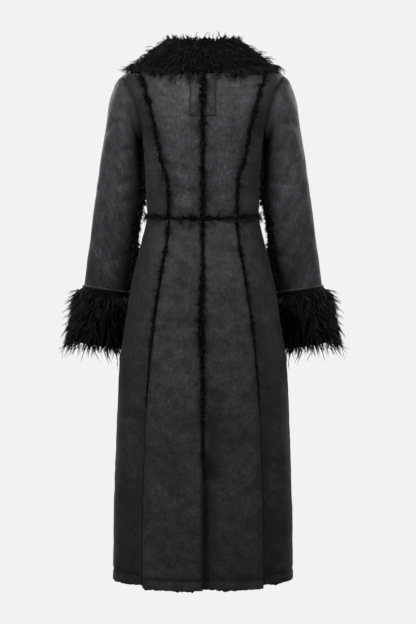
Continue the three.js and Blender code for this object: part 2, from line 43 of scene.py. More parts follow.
# Camera, floor and light. The coat hangs clear of the floor, as if worn.
view = {"place": (-0.0125, 3.5, -0.63), "lens": 80.77, "sensor": 36}
studio = {"floorHeight": -1.62, "floorSize": 14, "backdrop": 0.888, "floorTone": 0.22,
          "fill": 0.085, "fillColour": (0.96, 0.98, 1, 1)}
lamps = {
    "key": {"place": (1.3, 1.6, 1.25), "aim": (0.05, 0, -0.3), "size": 0.7, "power": 61},
    "sideLeft": {"place": (1.2, 1.2, 0.5), "aim": (0.25, 0, -0.2), "size": 0.7, "power": 2.5},
    "sideRight": {"place": (-1.1, 1.1, 0.5), "aim": (-0.25, 0, -0.2), "size": 0.6, "power": 18},
    "frontLeft": {"place": (1.7, -2.6, 1.2), "aim": (0, 0, -0.5), "size": 1.6, "power": 82},
    "frontRight": {"place": (-2.1, -2.2, 0.9), "aim": (0, 0, -0.5), "size": 1.6, "power": 55},
}


def addCamera():
    camera = bpy.data.objects.new("camera", bpy.data.cameras.new("camera"))
    camera.data.lens = view["lens"]
    camera.data.sensor_width = view["sensor"]
    camera.location = view["place"]
    camera.rotation_euler = (math.pi / 2, 0, math.pi)
    scene.collection.objects.link(camera)
    scene.camera = camera


def addLamps():
    for name, lamp in lamps.items():
        light = bpy.data.lights.new(name, "AREA")
        light.shape = "DISK"
        light.size = lamp["size"]
        light.energy = lamp["power"]
        holder = bpy.data.objects.new(name, light)
        holder.location = lamp["place"]
        towards = Vector(lamp["aim"]) - Vector(lamp["place"])
        holder.rotation_euler = towards.to_track_quat("-Z", "Y").to_euler()
        scene.collection.objects.link(holder)


def grey(tone):
    return (tone, tone, tone, 1)


def mixForCamera(tree, lit, seen, output):   # the camera sees one shader, the light meets the other
    mix = tree.nodes.new("ShaderNodeMixShader")
    path = tree.nodes.new("ShaderNodeLightPath")
    tree.links.new(path.outputs["Is Camera Ray"], mix.inputs[0])
    tree.links.new(lit.outputs[0], mix.inputs[1])
    tree.links.new(seen.outputs[0], mix.inputs[2])
    tree.links.new(mix.outputs[0], output.inputs["Surface"])


def addStudio():
    world = bpy.data.worlds.new("studio")
    scene.world = world
    world.use_nodes = True
    tree = world.node_tree
    fill = tree.nodes["Background"]
    fill.inputs["Color"].default_value = studio["fillColour"]
    fill.inputs["Strength"].default_value = studio["fill"]
    seen = tree.nodes.new("ShaderNodeBackground")
    seen.inputs["Color"].default_value = grey(studio["backdrop"])
    mixForCamera(tree, fill, seen, tree.nodes["World Output"])
    bpy.ops.mesh.primitive_plane_add(size=studio["floorSize"], location=(0, 0, studio["floorHeight"]))
    floor = bpy.context.object
    floor.name = "floor"
    paint = bpy.data.materials.new("paleFloor")
    paint.use_nodes = True
    tree = paint.node_tree
    shader = tree.nodes["Principled BSDF"]
    shader.inputs["Base Color"].default_value = grey(studio["floorTone"])
    seen = tree.nodes.new("ShaderNodeEmission")
    seen.inputs["Color"].default_value = grey(studio["backdrop"])
    mixForCamera(tree, shader, seen, tree.nodes["Material Output"])
    floor.data.materials.append(paint)
    floor.select_set(False)


# Sizes of the coat, in metres and degrees. Angles run round the body from the centre front: 90 is the
# left side, 180 the centre back, 270 the right side.
coat = {
    "wall": 0.003, "seamGap": 0.0003, "roundness": 2.2, "waist": -0.392,
    "hemBack": -1.295, "hemSide": -1.288, "hemFront": -1.290,
    "dipBack": 0.010, "dipFront": 0.002, "dipGone": 0.160,
    "armpit": 0.187, "shoulder": 0.355, "neck": 0.483, "armholeSpread": 31,
}
bodiceRings = {
    "rise": (0, 0.072, 0.140, 0.187, 0.215, 0.242, 0.275, 0.323, 0.355, 0.415, 0.483),
    "halfWidth": (0.139, 0.143, 0.147, 0.151, 0.164, 0.178, 0.192, 0.203, 0.197, 0.139, 0.074),
    "back": (0.092, 0.104, 0.115, 0.121, 0.122, 0.120, 0.115, 0.101, 0.091, 0.074, 0.058),
    "front": (0.098, 0.112, 0.129, 0.132, 0.129, 0.123, 0.114, 0.102, 0.099, 0.095, 0.090),
    "sideZ": (-0.392, -0.320, -0.252, -0.205, -0.177, -0.150, -0.117, -0.069, -0.038, -0.019, 0),
    "backZ": (-0.402, -0.328, -0.256, -0.207, -0.178, -0.151, -0.119, -0.076, -0.050, -0.017, 0.008),
    "frontZ": (-0.394, -0.322, -0.254, -0.208, -0.182, -0.160, -0.140, -0.126, -0.122, -0.117, -0.112),
}
skirtRings = {
    "drop": (0, 0.033, 0.098, 0.170, 0.280, 0.358, 0.458, 0.583, 0.708, 0.903),
    "halfWidth": (0.139, 0.146, 0.162, 0.179, 0.196, 0.208, 0.214, 0.219, 0.223, 0.226),
    "back": (0.092, 0.098, 0.112, 0.124, 0.135, 0.141, 0.147, 0.153, 0.158, 0.164),
    "front": (0.098, 0.102, 0.111, 0.119, 0.128, 0.134, 0.140, 0.146, 0.151, 0.157),
}
princessLine = {   # how far the princess seam is from the centre back at each height
    "height": (-1.305, -1.083, -0.870, -0.787, -0.666, -0.552, -0.427, -0.337, -0.303, -0.265, -0.175,
               -0.115, -0.056, -0.020),
    "fromCentre": (0.149, 0.147, 0.139, 0.133, 0.121, 0.104, 0.085, 0.085, 0.088, 0.101, 0.118,
                   0.133, 0.151, 0.162),
}
skirtFolds = {   # soft upright folds, deepest at the hem
    "angle": (158, 113, 84, 62, 38, 214, 247, 275, 296, 322),
    "halfWidth": (13, 9, 9, 11, 9, 8, 10, 8, 12, 9),
    "depth": (0.004, 0.005, -0.007, 0.006, -0.007, 0.004, 0.004, -0.006, 0.006, -0.006),
    "start": (-0.52, -0.70, -0.62, -0.56, -0.70, -0.64, -0.64, -0.76, -0.60, -0.66),
}
lap = {   # foot of the centre back, where the left panel lies over the right one
    "top": -0.985, "full": -1.040, "tuckFrom": -1.022, "tuckTo": -1.058, "under": 0.024,
    "proud": 0.003, "proudWidth": 0.034, "sunk": 0.015, "flatTo": 0.030, "easedOver": 0.026,
}
trough = {"top": -0.640, "full": -1.050, "centre": -0.034, "halfWidth": 0.030, "depth": 0.012}
troughShade = {   # painted shade: the suede darkens in the trough beside the lap, as a second seam would make it
    "top": -0.640, "full": -1.100, "from": -0.002, "reach": 0.095, "seamAt": 0.0048, "depth": 0.0042,
    "near": 0.046, "nearPart": 0.72, "farPart": 0.42, "edge": 0.004,
    "even": 0.8, "uneven": 0.3, "unevenSize": 0.05,
}
princessFold = {"top": -0.560, "full": -0.950, "apart": 0.015, "ridge": 0.004, "ridgeWidth": 0.015,
                "dip": 0.008, "dipWidth": 0.024}
frontLap = {"over": 0.035, "under": 0.032, "sunk": 0.0054, "bendFrom": 0.088, "bendTo": 0.044}
sleeveRings = {   # outer and inner line of the left sleeve, ring 1 to ring 10
    "outX": (0.214, 0.226, 0.235, 0.243, 0.254, 0.265, 0.277, 0.288, 0.298, 0.306),
    "outZ": (-0.051, -0.077, -0.113, -0.160, -0.228, -0.303, -0.380, -0.450, -0.514, -0.568),
    "inX": (0.154, 0.155, 0.1545, 0.152, 0.1485, 0.1485, 0.160, 0.167, 0.174, 0.184),
    "inZ": (-0.214, -0.228, -0.246, -0.268, -0.306, -0.356, -0.418, -0.480, -0.534, -0.586),
    "halfDepth": (0.062, 0.061, 0.059, 0.057, 0.055, 0.054, 0.053, 0.052, 0.051, 0.050),
    "y": (0, -0.002, -0.005, -0.009, -0.016, -0.027, -0.041, -0.056, -0.072, -0.087),
}
sleeve = {"end": 10, "hindArm": 150, "foreArm": 255, "tuckedIn": 0.06, "footGap": 0.006}


def ease(value, start, end):
    t = np.clip((value - start) / (end - start), 0, 1)
    return t * t * (3 - 2 * t)


def bump(distance, halfWidth):
    return np.exp(-(distance / halfWidth) ** 2)


def bent(value):
    return np.sign(value) * np.abs(value) ** (2 / coat["roundness"])


def unit(vectors):
    return vectors / np.maximum(np.linalg.norm(vectors, axis=-1, keepdims=True), 1e-9)


def lengthAlong(points, axis=0):   # how far each point is from the first one, along a row or a column
    steps = np.linalg.norm(np.diff(points, axis=axis), axis=-1)
    return np.concatenate([0 * steps.take([0], axis), np.cumsum(steps, axis)], axis)


def pointsAlong(path, reach, spot):
    return np.stack([np.interp(spot, reach, path[:, k]) for k in range(3)], -1)


def rowAt(table, key, value):   # rows of a table at any value, on a smooth curve
    x = np.array(table[key], float)
    way = 1 if x[1] > x[0] else -1
    i = np.clip(np.searchsorted(way * x, way * np.asarray(value), side="left") - 1, 0, len(x) - 2)
    before, after = np.maximum(i - 1, 0), np.minimum(i + 2, len(x) - 1)
    span = x[i + 1] - x[i]
    t = np.clip((value - x[i]) / span, 0, 1)
    row = {}
    for name, column in table.items():
        p = np.array(column, float)
        m0 = span * (p[i + 1] - p[before]) / (x[i + 1] - x[before])
        m1 = span * (p[after] - p[i]) / (x[after] - x[i])
        row[name] = ((2 * t**3 - 3 * t**2 + 1) * p[i] + (t**3 - 2 * t**2 + t) * m0
                     + (3 * t**2 - 2 * t**3) * p[i + 1] + (t**3 - t**2) * m1)
    return row


def onRing(ring, angle, height, push):
    s, c = np.sin(np.radians(angle)), -np.cos(np.radians(angle))
    depth = np.where(c > 0, ring["back"], ring["front"])
    x, y = ring["halfWidth"] * bent(s), depth * bent(c)
    across = unit(np.stack([x / ring["halfWidth"] ** 2, y / depth ** 2], -1))
    flat = np.stack([x, y], -1) + across * np.asarray(push)[..., None]
    return np.concatenate([flat, np.asarray(height)[..., None]], -1)


def angleAt(ring, x):
    share = np.minimum(np.abs(x) / ring["halfWidth"], 1)
    fromCentre = np.degrees(np.arcsin(share ** (coat["roundness"] / 2)))
    return np.where(np.asarray(x) >= 0, 180 - fromCentre, 180 + fromCentre)


def frontAngleAt(ring, x):
    return np.degrees(np.arcsin((np.abs(x) / ring["halfWidth"]) ** (coat["roundness"] / 2))) * np.sign(x)


def sunkFront(ring, angle, side):   # the left front sinks under the right one at the centre
    x = ring["halfWidth"] * bent(np.sin(np.radians(angle)))
    sunk = -frontLap["sunk"] * ease(-x, -frontLap["bendFrom"], -frontLap["bendTo"])
    return np.where((side > 0) & (angle <= 90), sunk, 0)


def bodicePoint(angle, rise, side=0):
    angle, rise, side = np.broadcast_arrays(np.asarray(angle, float), rise, side)
    ring = rowAt(bodiceRings, "rise", rise)
    c = -np.cos(np.radians(angle))
    end = np.where(c > 0, ring["backZ"], ring["frontZ"])
    height = ring["sideZ"] + (end - ring["sideZ"]) * c * c
    return onRing(ring, angle, height, sunkFront(ring, angle, side))


def skirtPush(ring, angle, height, side):
    push = sunkFront(ring, angle, side)
    for foldAngle, halfWidth, depth, start in zip(*skirtFolds.values()):
        push = push + depth * bump(angle - foldAngle, halfWidth) * ease(-height, -start, -coat["hemFront"])
    x = ring["halfWidth"] * bent(np.sin(np.radians(angle)))
    past = np.abs(x) - rowAt(princessLine, "height", height)["fromCentre"]
    grown = ease(-height, -princessFold["top"], -princessFold["full"])
    behind = princessFold["ridge"] * grown * bump(past + princessFold["apart"], princessFold["ridgeWidth"])
    dip = princessFold["dip"] * grown * bump(past - princessFold["apart"], princessFold["dipWidth"])
    behind = behind - dip
    lapped = ease(-height, -lap["top"], -lap["full"])
    over = lap["proud"] * lapped * bump(x, lap["proudWidth"])
    deep = trough["depth"] * ease(-height, -trough["top"], -trough["full"])
    across = ease(-x, 0, trough["halfWidth"]) * bump(x - trough["centre"], trough["halfWidth"])
    held = bump(np.maximum(-x - lap["flatTo"], 0), lap["easedOver"])
    under = -deep * across * (1 - lapped) - lap["sunk"] * lapped * held
    behind = behind + np.where(side > 0, over, np.where(side < 0, under, 0))
    return push + np.where((angle < 90) | (angle > 270), 0, behind)


def skirtPoint(angle, drop, side=0):
    angle, drop, side = np.broadcast_arrays(np.asarray(angle, float), drop, side)
    ring = rowAt(skirtRings, "drop", drop)
    c = -np.cos(np.radians(angle))
    dip = np.where(c > 0, coat["dipBack"], coat["dipFront"]) * c * c
    height = coat["waist"] - drop - dip * (1 - ease(drop, 0, coat["dipGone"]))
    return onRing(ring, angle, height, skirtPush(ring, angle, height, side))


armholeMiddle = (coat["shoulder"] + coat["armpit"]) / 2
armholeHalf = (coat["shoulder"] - coat["armpit"]) / 2


def armholePoint(turn):
    a = np.radians(turn)
    edge = bodicePoint(90 + coat["armholeSpread"] * np.sin(a), armholeMiddle + armholeHalf * np.cos(a))
    return edge + unit(bodicePoint(90, armholeMiddle) - edge) * coat["seamGap"]


def sleeveRing(index, turn):   # ring 0 is the armhole
    at = np.clip(index, 1, sleeve["end"]) - 1
    row = {name: np.array(column)[at] for name, column in sleeveRings.items()}
    outer = np.stack([row["outX"], row["y"], row["outZ"]], -1)
    inner = np.stack([row["inX"], row["y"], row["inZ"]], -1)
    a = np.radians(turn)[..., None]
    point = (outer + inner) / 2 + (outer - inner) / 2 * np.cos(a)
    point = point + np.sin(a) * np.stack([0 * row["y"], row["halfDepth"], 0 * row["y"]], -1)
    return np.where(np.asarray(index)[..., None] <= 0, armholePoint(turn), point)


def sleevePoint(turn, along):   # a point of the left sleeve
    turn, along = np.broadcast_arrays(np.asarray(turn, float), along)
    i = np.clip(np.floor(along), 0, sleeve["end"] - 1).astype(int)
    t = (along - i)[..., None]
    p0, p1, p2, p3 = (sleeveRing(np.clip(i + k, 0, sleeve["end"]), turn) for k in (-1, 0, 1, 2))
    p0 = np.where((i == 0)[..., None], 2 * p1 - p2, p0)
    p3 = np.where((i == sleeve["end"] - 1)[..., None], 2 * p2 - p1, p3)
    return 0.5 * ((-t + 2 * t**2 - t**3) * p0 + (2 - 5 * t**2 + 3 * t**3) * p1
                  + (t + 4 * t**2 - 3 * t**3) * p2 + (-t**2 + t**3) * p3)


def sleeveMiddle(along):
    return (sleevePoint(0, along) + sleevePoint(180, along)) / 2


cuffDown = unit(sleeveMiddle(sleeve["end"]) - sleeveMiddle(sleeve["end"] - 1))


def cuffPoint(turn, down, reach):   # outside or inside the sleeve's end, this far below it
    turn, down, reach = np.broadcast_arrays(np.asarray(turn, float), down, reach)
    last = sleevePoint(turn, sleeve["end"])
    return last + cuffDown * down[..., None] + unit(last - sleeveMiddle(sleeve["end"])) * reach[..., None]


def outward(pointAt, angle, level, sign):
    turnStep = 0.4
    levelStep = 0.00002 if np.max(np.abs(level)) < 2 else 0.02   # metres on the body, rings on a sleeve
    across = pointAt(angle + turnStep, level) - pointAt(angle - turnStep, level)
    up = pointAt(angle, level + levelStep) - pointAt(angle, level - levelStep)
    return unit(np.cross(across, up)) * sign


latticeSize = 32
lattice = np.random.default_rng(5).uniform(-1, 1, (latticeSize,) * 3)


def softNoise(points, size, shift=0.0):   # even lumps of this size, from -1 to 1
    p = points / size + shift
    base = np.floor(p).astype(int)
    t = p - base
    t = t * t * (3 - 2 * t)
    total = np.zeros(points.shape[:-1])
    for corner in itertools.product((0, 1), repeat=3):
        weight = np.prod(np.where(corner, t, 1 - t), -1)
        cell = (base + corner) % latticeSize
        total += weight * lattice[cell[..., 0], cell[..., 1], cell[..., 2]]
    return total


# Materials
finishes = {
    "cloth": {"colour": (0.0275, 0.0274, 0.0292, 1), "worn": 1.0, "rough": 0.7, "specular": 0.30,
              "sheen": 0.05, "bump": 0.6, "bumpDepth": 0.0010},
    # a darker copy of the cloth for the side panels and the under sleeves: painted shade where they turn away
    # from the light
    "clothSide": {"colour": (0.0180, 0.0180, 0.0191, 1), "worn": 0.7, "rough": 0.7, "specular": 0.30,
                  "sheen": 0.05, "bump": 0.6, "bumpDepth": 0.0010},
    "fur": {"root": (0.0005, 0.0005, 0.0006, 1), "tip": (0.0048, 0.0048, 0.0054, 1), "rough": 0.6,
            "specular": 0.30},
    "seamFur": {"root": (0.0006, 0.0006, 0.0007, 1), "tip": (0.0048, 0.0048, 0.0054, 1), "rough": 0.6,
                "specular": 0.30},
    "fleece": {"colour": (0.0050, 0.0050, 0.0055, 1), "rough": 0.85, "specular": 0.1, "bump": 0.8,
               "bumpDepth": 0.0025},
    "pelt": {"colour": (0.0009, 0.0009, 0.0010, 1), "rough": 0.85, "specular": 0.1, "bump": 0.8,
             "bumpDepth": 0.002},
    "hemCurl": {"colour": (0.0190, 0.0175, 0.0160, 1), "rough": 0.85, "specular": 0.1, "bump": 0.8,
                "bumpDepth": 0.001},
    "thread": {"colour": (0.0035, 0.0035, 0.0040, 1), "rough": 0.5, "specular": 0.4, "bump": 0.5,
               "bumpDepth": 0.0002, "twist": 2500, "twistTone": (0.3, 0.7, 0.6, 1.6)},
}
suede = {   # a range is what a value is taken from and to; the last two make it lighter or darker
    "cracks": 260, "crackWander": (0.006, 0.005, 0.006), "wander": 90, "crackEdge": 0.16,
    # the seam range darkens the suede to a tenth at a seam: a dark seam line with painted shade in the seam
    # grooves and beside the fur strips; the range beside the seam is painted shade, each panel darker towards
    # its seams and lighter in the middle
    "crackTone": (0.72, 1.04), "drawn": (1, 0.4, 1), "seam": (0.0006, 0.0048, 0.10, 1.0),
    "shadeTowardsSeam": (0.002, 0.040, 0.70, 1.12), "gloss": (0.16, -0.10), "roughness": 0.61,
    "grain": 700, "crackHeight": 0.6, "grainHeight": 0.5, "blotchHeight": 0.9,
}
suedeLayers = {
    "blotch": {"scale": 34, "detail": 4, "rough": 0.6, "range": (0.30, 0.70, 0.58, 1.44)},
    "patches": {"scale": 11, "detail": 2, "rough": 0.55, "range": (0.34, 0.66, 0.66, 1.34)},
    "fleck": {"scale": 380, "detail": 3, "rough": 0.7, "range": (0.48, 0.70, 0.88, 2.1)},
    "streaks": {"scale": 170, "detail": 3, "rough": 0.6, "range": (0.32, 0.68, 0.72, 1.30)},
    "mottle": {"scale": 120, "detail": 2, "rough": 0.6, "range": (0.34, 0.66, 0.72, 1.28)},
}
furShade = {"part": (0.1, 0.9, 0, 1), "tone": (0, 1, 0.25, 3.2), "roughness": (0, 1, 0.72, 0.5)}
fleeceCurls = {"scale": 190, "smoothness": 0.5, "lump": (0, 0.7, 1, 0), "fuzz": 800, "fuzzHeight": 0.6,
               "tone": (0.2, 1.5, 0.5, 1.8)}


def newMaterial(name):
    finish = finishes[name]
    paint = bpy.data.materials.new(name)
    paint.use_nodes = True
    shader = paint.node_tree.nodes["Principled BSDF"]
    shader.inputs["Roughness"].default_value = finish["rough"]
    shader.inputs["Specular IOR Level"].default_value = finish["specular"]
    shader.inputs["Sheen Weight"].default_value = finish.get("sheen", 0)
    shader.inputs["Sheen Roughness"].default_value = 0.45
    return paint, paint.node_tree, shader


def newGroup(name, takes, gives):
    group = bpy.data.node_groups.new(name, "ShaderNodeTree")
    for socket, kind, value in takes:
        group.interface.new_socket(socket, in_out="INPUT", socket_type=kind).default_value = value
    for socket, kind in gives:
        group.interface.new_socket(socket, in_out="OUTPUT", socket_type=kind)
    return group, group.nodes.new("NodeGroupInput"), group.nodes.new("NodeGroupOutput")


def feed(tree, socket, value):   # a plain value, or a link from another node
    if isinstance(value, bpy.types.NodeSocket):
        tree.links.new(value, socket)
    else:
        socket.default_value = value


def addMath(tree, operation, *values):
    node = tree.nodes.new("ShaderNodeMath")
    node.operation = operation
    for socket, value in zip(node.inputs, values):
        feed(tree, socket, value)
    return node.outputs[0]


def addAll(tree, operation, values):
    total, *others = values
    for value in others:
        total = addMath(tree, operation, total, value)
    return total


def addVector(tree, operation, *values):
    node = tree.nodes.new("ShaderNodeVectorMath")
    node.operation = operation
    for socket, value in zip(node.inputs, values):
        feed(tree, socket, value)
    return node


def scaled(tree, colour, factor):
    node = addVector(tree, "SCALE", colour)
    feed(tree, node.inputs["Scale"], factor)
    return node.outputs[0]


def addNoise(tree, vector, scale, detail=3.0, roughness=0.55):
    node = tree.nodes.new("ShaderNodeTexNoise")
    node.inputs["Scale"].default_value = scale
    node.inputs["Detail"].default_value = detail
    node.inputs["Roughness"].default_value = roughness
    tree.links.new(vector, node.inputs["Vector"])
    return node.outputs["Fac"]


def addCells(tree, feature, vector, scale):
    node = tree.nodes.new("ShaderNodeTexVoronoi")
    node.feature = feature
    node.inputs["Scale"].default_value = scale
    tree.links.new(vector, node.inputs["Vector"])
    return node


def addRange(tree, value, *limits):   # from low, from high, to low, to high
    node = tree.nodes.new("ShaderNodeMapRange")
    for socket, number in zip(list(node.inputs)[1:5], limits):
        socket.default_value = number
    tree.links.new(value, node.inputs[0])
    return node.outputs[0]


def suedeGroup():
    group, takes, gives = newGroup("wornSuede", [
        ("Surface", "NodeSocketVector", (0, 0, 0)), ("Colour", "NodeSocketColor", (0.03, 0.03, 0.03, 1)),
        ("Seam", "NodeSocketFloat", 1.0), ("Worn", "NodeSocketFloat", 0.5)],
        [("Colour", "NodeSocketColor"), ("Roughness", "NodeSocketFloat"), ("Height", "NodeSocketFloat")])
    surface, seam = takes.outputs["Surface"], takes.outputs["Seam"]
    wander = addNoise(group, surface, suede["wander"], 2)
    moved = addVector(group, "MULTIPLY_ADD", wander, suede["crackWander"], surface).outputs[0]
    crackle = addCells(group, "DISTANCE_TO_EDGE", moved, suede["cracks"])
    cracks = addRange(group, crackle.outputs["Distance"], 0, suede["crackEdge"], 0, 1)
    drawn = addVector(group, "MULTIPLY", surface, suede["drawn"]).outputs[0]
    shades = {}
    for name, layer in suedeLayers.items():
        over = drawn if name == "streaks" else surface
        noise = addNoise(group, over, layer["scale"], layer["detail"], layer["rough"])
        shades[name] = addRange(group, noise, *layer["range"])
    shades["cracks"] = addRange(group, cracks, 0, 1, *suede["crackTone"])
    # painted shade along the seams and across each panel towards them
    shades["seam"] = addRange(group, seam, *suede["seam"])
    shades["shadeTowardsSeam"] = addRange(group, seam, *suede["shadeTowardsSeam"])
    tone = addAll(group, "MULTIPLY", shades.values())
    group.links.new(scaled(group, takes.outputs["Colour"], tone), gives.inputs["Colour"])
    blotch = shades["blotch"]
    gloss = addRange(group, blotch, *suedeLayers["blotch"]["range"][2:], *suede["gloss"])
    gloss = addMath(group, "MULTIPLY", gloss, takes.outputs["Worn"])
    group.links.new(addMath(group, "ADD", gloss, suede["roughness"]), gives.inputs["Roughness"])
    grain = addNoise(group, surface, suede["grain"], 2)
    raised = ((cracks, "crackHeight"), (grain, "grainHeight"), (blotch, "blotchHeight"))
    height = addAll(group, "ADD", [addMath(group, "MULTIPLY", part, suede[size]) for part, size in raised])
    group.links.new(height, gives.inputs["Height"])
    return group


def furGroup():
    group, takes, gives = newGroup("furTone", [
        ("Along", "NodeSocketFloat", 0.5), ("Tone", "NodeSocketFloat", 0.5),
        ("Root", "NodeSocketColor", (0.002, 0.002, 0.002, 1)),
        ("Tip", "NodeSocketColor", (0.01, 0.01, 0.01, 1))],
        [("Colour", "NodeSocketColor"), ("Roughness", "NodeSocketFloat")])
    mix = group.nodes.new("ShaderNodeMix")
    mix.data_type = "RGBA"
    group.links.new(addRange(group, takes.outputs["Along"], *furShade["part"]), mix.inputs[0])
    group.links.new(takes.outputs["Root"], mix.inputs[6])
    group.links.new(takes.outputs["Tip"], mix.inputs[7])
    tone = addRange(group, takes.outputs["Tone"], *furShade["tone"])
    group.links.new(scaled(group, mix.outputs[2], tone), gives.inputs["Colour"])
    roughness = addRange(group, takes.outputs["Tone"], *furShade["roughness"])
    group.links.new(roughness, gives.inputs["Roughness"])
    return group


def fleeceGroup():
    group, takes, gives = newGroup("curledFleece", [
        ("Surface", "NodeSocketVector", (0, 0, 0)), ("Colour", "NodeSocketColor", (0.01, 0.01, 0.01, 1))],
        [("Colour", "NodeSocketColor"), ("Height", "NodeSocketFloat")])
    curls = addCells(group, "SMOOTH_F1", takes.outputs["Surface"], fleeceCurls["scale"])
    curls.inputs["Smoothness"].default_value = fleeceCurls["smoothness"]
    fuzz = addNoise(group, takes.outputs["Surface"], fleeceCurls["fuzz"], 3, 0.7)
    lump = addRange(group, curls.outputs["Distance"], *fleeceCurls["lump"])
    height = addMath(group, "ADD", lump, addMath(group, "MULTIPLY", fuzz, fleeceCurls["fuzzHeight"]))
    tone = addRange(group, height, *fleeceCurls["tone"])
    group.links.new(scaled(group, takes.outputs["Colour"], tone), gives.inputs["Colour"])
    group.links.new(height, gives.inputs["Height"])
    return group


def addGroup(tree, group, **values):
    node = tree.nodes.new("ShaderNodeGroup")
    node.node_tree = group
    for socket, value in values.items():
        feed(tree, node.inputs[socket], value)
    return node


def addAttribute(tree, name, output="Fac"):
    node = tree.nodes.new("ShaderNodeAttribute")
    node.attribute_name = name
    return node.outputs[output]


def addPlace(tree):
    return tree.nodes.new("ShaderNodeTexCoord").outputs["Object"]


def addBump(tree, shader, height, finish):
    node = tree.nodes.new("ShaderNodeBump")
    node.inputs["Strength"].default_value = finish["bump"]
    node.inputs["Distance"].default_value = finish["bumpDepth"]
    tree.links.new(height, node.inputs["Height"])
    tree.links.new(node.outputs["Normal"], shader.inputs["Normal"])


def makeThread(tree, shader, finish):
    twist = addNoise(tree, addPlace(tree), finish["twist"], 2)
    colour = tree.nodes.new("ShaderNodeRGB")
    colour.outputs[0].default_value = finish["colour"]
    tone = scaled(tree, colour.outputs[0], addRange(tree, twist, *finish["twistTone"]))
    tree.links.new(tone, shader.inputs["Base Color"])
    addBump(tree, shader, twist, finish)


def makeMaterials():
    suedeTone, furTone, curls = suedeGroup(), furGroup(), fleeceGroup()
    made = {}
    for name, finish in finishes.items():
        made[name], tree, shader = newMaterial(name)
        if "twist" in finish:
            makeThread(tree, shader, finish)
            continue
        if "worn" in finish:
            node = addGroup(tree, suedeTone, Colour=finish["colour"], Worn=finish["worn"],
                            Surface=addAttribute(tree, "clothMap", "Vector"),
                            Seam=addAttribute(tree, "seamShadeDistance"))
        elif "root" in finish:
            node = addGroup(tree, furTone, Root=finish["root"], Tip=finish["tip"],
                            Along=addAttribute(tree, "along"), Tone=addAttribute(tree, "tone"))
        else:
            node = addGroup(tree, curls, Colour=finish["colour"], Surface=addPlace(tree))
        tree.links.new(node.outputs["Colour"], shader.inputs["Base Color"])
        if "Roughness" in node.outputs:
            tree.links.new(node.outputs["Roughness"], shader.inputs["Roughness"])
        if "Height" in node.outputs:
            addBump(tree, shader, node.outputs["Height"], finish)
    return made


# Mesh building
def newPiece(name, points, faces, paints, kinds=None, values=None, sharp=None):
    mesh = bpy.data.meshes.new(name)
    mesh.from_pydata(points.tolist(), [], faces)
    for paint in paints:
        mesh.materials.append(materials[paint])
    if kinds is not None:
        mesh.polygons.foreach_set("material_index", np.asarray(kinds, np.int32))
    for key, value in (values or {}).items():
        if value.ndim == 1:
            mesh.attributes.new(key, "FLOAT", "POINT").data.foreach_set("value", value.astype(np.float32))
        else:
            layer = mesh.attributes.new(key, "FLOAT_VECTOR", "POINT")
            layer.data.foreach_set("vector", value.astype(np.float32).ravel())
    mesh.validate()
    mesh.shade_smooth()
    piece = bpy.data.objects.new(name, mesh)
    scene.collection.objects.link(piece)
    if sharp:
        piece.select_set(True)
        bpy.context.view_layer.objects.active = piece
        bpy.ops.object.shade_smooth_by_angle(angle=math.radians(sharp))
        piece.select_set(False)
    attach(piece, "root")
    return piece


def gridFaces(rows, columns, start=0, flip=False):
    at = start + np.arange(rows * columns).reshape(rows, columns)
    quads = np.stack([at[:-1, :-1], at[:-1, 1:], at[1:, 1:], at[1:, :-1]], -1).reshape(-1, 4)
    return quads[:, ::-1] if flip else quads


def mirror(points):
    return points * np.array([-1, 1, 1])


def mirrorPart(part):   # to the other side, with its faces turned back outwards
    part["points"] = mirror(part["points"])
    part["quads"] = part["quads"][:, ::-1]
    part["triangles"] = part["triangles"][:, ::-1]


cloth = {
    "step": 0.0080, "sharp": 50,
    "lumps": ((0.060, 0.0011), (0.026, 0.0006), (0.011, 0.00022)), "flatAtSeam": (-0.004, 0.012),
    "seamDip": 0.0016, "seamWidth": 0.0045, "seamHeld": 0.010, "heldSeam": 0.60, "noSeam": 0.1,
    "pucker": 0.0007, "puckerLength": 0.013, "puckerReach": 0.016,
    "hemStitch": 0.0225, "hemGroove": 0.0024, "hemGrooveWidth": 0.0034, "hemGrooveShade": 0.7,
    "headSeam": 0.0030, "flatAtHead": (0.004, 0.014), "flatAtFoot": (0, 0.01),
}


def creaseRelief(points, pointAt, creases):   # soft troughs and ridges, listed in tables
    total = np.zeros(points.shape[:-1])
    t = np.linspace(0, 1, 15)
    for startAngle, startLevel, stopAngle, stopLevel, width, depth in creases:
        path = pointAt(startAngle + (stopAngle - startAngle) * t, startLevel + (stopLevel - startLevel) * t)
        gap = np.linalg.norm(points[..., None, :] - path, axis=-1)
        taper = np.sin(np.pi * (0.06 + 0.88 * t[gap.argmin(-1)])) ** 0.8
        total += depth * bump(gap.min(-1), width) * taper
    return total


def shellPiece(name, outer, inner, turned, clothMap, seam, paints):   # two sheets and the rim between them
    rows, columns = outer.shape[:2]
    count = rows * columns
    outside = gridFaces(rows, columns, 0, turned)
    inside = gridFaces(rows, columns, count, not turned)
    at = np.arange(count).reshape(rows, columns)
    loop = np.concatenate([at[0, :-1], at[:-1, -1], at[-1, :0:-1], at[:0:-1, 0]])
    after = np.roll(loop, -1)
    rim = np.stack([loop, loop + count, after + count, after], -1)
    rim = rim[:, ::-1] if turned else rim
    kinds = np.repeat([0, len(paints) - 1], [len(outside), len(inside) + len(rim)])
    values = {"clothMap": np.tile(clothMap.reshape(-1, 3), (2, 1)), "seamShadeDistance": np.tile(seam.ravel(), 2)}
    points = np.concatenate([outer.reshape(-1, 3), inner.reshape(-1, 3)])
    faces = np.concatenate([outside, inside, rim]).tolist()
    return newPiece(name, points, faces, paints, kinds, values, cloth["sharp"])


